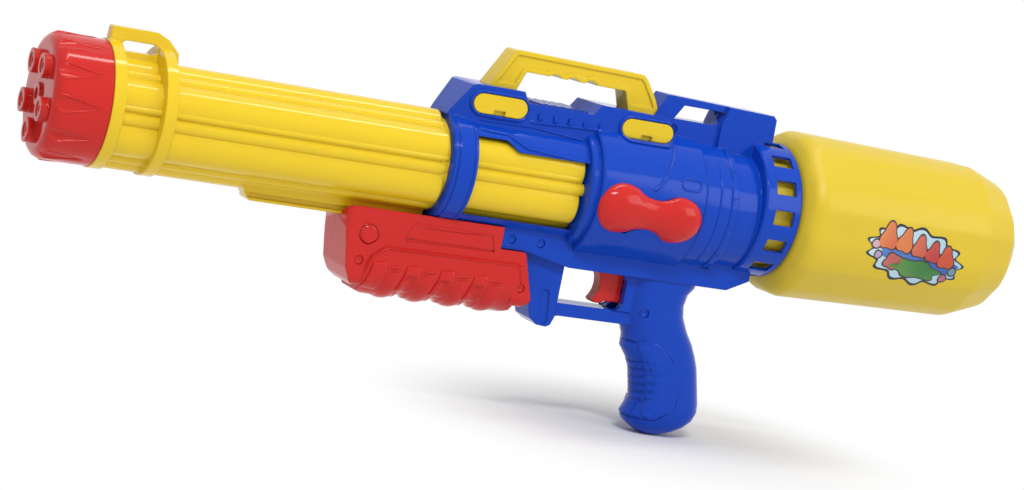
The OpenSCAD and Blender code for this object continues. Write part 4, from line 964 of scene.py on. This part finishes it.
studio = {
    "floorSize": 24.0,
    "floorTints": ((0.82, 0.82, 0.82, 1), (0.85, 0.85, 0.85, 1)),
    "floorGrain": 60.0,
    "floorRoughness": 0.9,
    "shadowPlace": (0.105, 0.0, 0.0),
    "shadowReach": (0.05, 0.21),
    "ambient": 0.5,
    "lamps": [
        # place, aim, width and height in m, watts
        ((-0.5, -1.6, 1.9), (0.0, 0.0, 0.18), (0.8, 0.3), 26),
        ((1.6, -1.6, 1.0), (0.1, 0.0, 0.18), (1.2, 1.2), 12),
        ((0.1, -0.1, 1.9), (0.05, 0.0, 0.2), (1.4, 0.12), 9),
    ],
}


# 1 for a ray that shows the surroundings to the eye, 0 for one that lights the part
def eyeRays(tree):
    path = addNode(tree, "ShaderNodeLightPath")
    seen = path.outputs["Is Camera Ray"]
    for kind in ("Is Glossy Ray", "Is Transmission Ray"):
        either = addNode(tree, "ShaderNodeMath", operation="MAXIMUM")
        tree.links.new(seen, either.inputs[0])
        tree.links.new(path.outputs[kind], either.inputs[1])
        seen = either.outputs[0]
    return seen


def addFloor(setup):
    half = setup["floorSize"] / 2
    corners = [(-half, -half, 0), (half, -half, 0), (half, half, 0), (-half, half, 0)]
    mesh = bpy.data.meshes.new("floor")
    mesh.from_pydata(corners, [], [(0, 1, 2, 3)])
    floor = bpy.data.objects.new("floor", mesh)
    scene.collection.objects.link(floor)
    material, tree, shader = newTree("paleFloor")
    link = tree.links.new
    shader.inputs["Roughness"].default_value = setup["floorRoughness"]
    shader.inputs["Specular IOR Level"].default_value = 0.0
    place = addNode(tree, "ShaderNodeTexCoord")
    grain = addNode(tree, "ShaderNodeTexNoise", Scale=setup["floorGrain"], Detail=3.0)
    link(place.outputs["Object"], grain.inputs["Vector"])
    tone = addNode(tree, "ShaderNodeMix", data_type="RGBA")
    tone.inputs["A"].default_value, tone.inputs["B"].default_value = setup["floorTints"]
    link(grain.outputs["Fac"], tone.inputs["Factor"])
    link(tone.outputs["Result"], shader.inputs["Base Color"])
    # near the part the floor takes the shadow, far away it is plain white
    far = addNode(tree, "ShaderNodeVectorMath", operation="DISTANCE")
    far.inputs[1].default_value = setup["shadowPlace"]
    link(place.outputs["Object"], far.inputs[0])
    white = addNode(tree, "ShaderNodeMapRange", interpolation_type="SMOOTHSTEP")
    white.inputs["From Min"].default_value = setup["shadowReach"][0]
    white.inputs["From Max"].default_value = setup["shadowReach"][1]
    link(far.outputs["Value"], white.inputs["Value"])
    amount = addNode(tree, "ShaderNodeMath", operation="MULTIPLY")
    link(eyeRays(tree), amount.inputs[0])
    link(white.outputs["Result"], amount.inputs[1])
    glow = addNode(tree, "ShaderNodeEmission", Color=(1, 1, 1, 1), Strength=1.0)
    mixed = addNode(tree, "ShaderNodeMixShader")
    link(amount.outputs[0], mixed.inputs["Fac"])
    link(shader.outputs[0], mixed.inputs[1])
    link(glow.outputs[0], mixed.inputs[2])
    sink = next(n for n in tree.nodes if n.type == "OUTPUT_MATERIAL")
    link(mixed.outputs[0], sink.inputs["Surface"])
    floor.data.materials.append(material)


def addWorld(setup):
    world = bpy.data.worlds.new("studio")
    world.use_nodes = True
    tree = world.node_tree
    tree.nodes.clear()
    background = addNode(tree, "ShaderNodeBackground", Color=(1, 1, 1, 1))
    strength = addNode(tree, "ShaderNodeMapRange")
    strength.inputs["To Min"].default_value = setup["ambient"]
    strength.inputs["To Max"].default_value = 1.0
    tree.links.new(eyeRays(tree), strength.inputs["Value"])
    tree.links.new(strength.outputs["Result"], background.inputs["Strength"])
    sink = addNode(tree, "ShaderNodeOutputWorld")
    tree.links.new(background.outputs[0], sink.inputs["Surface"])
    scene.world = world


def addLamps(setup):
    for i, (place, aim, size, watts) in enumerate(setup["lamps"]):
        data = bpy.data.lights.new("softbox%d" % i, "AREA")
        data.shape = "RECTANGLE"
        data.size, data.size_y = size
        data.energy = watts
        lamp = bpy.data.objects.new(data.name, data)
        lamp.location = place
        look = Vector(aim) - Vector(place)
        lamp.rotation_euler = look.to_track_quat("-Z", "Y").to_euler()
        scene.collection.objects.link(lamp)


addFloor(studio)
addWorld(studio)
addLamps(studio)
print("studio lit")
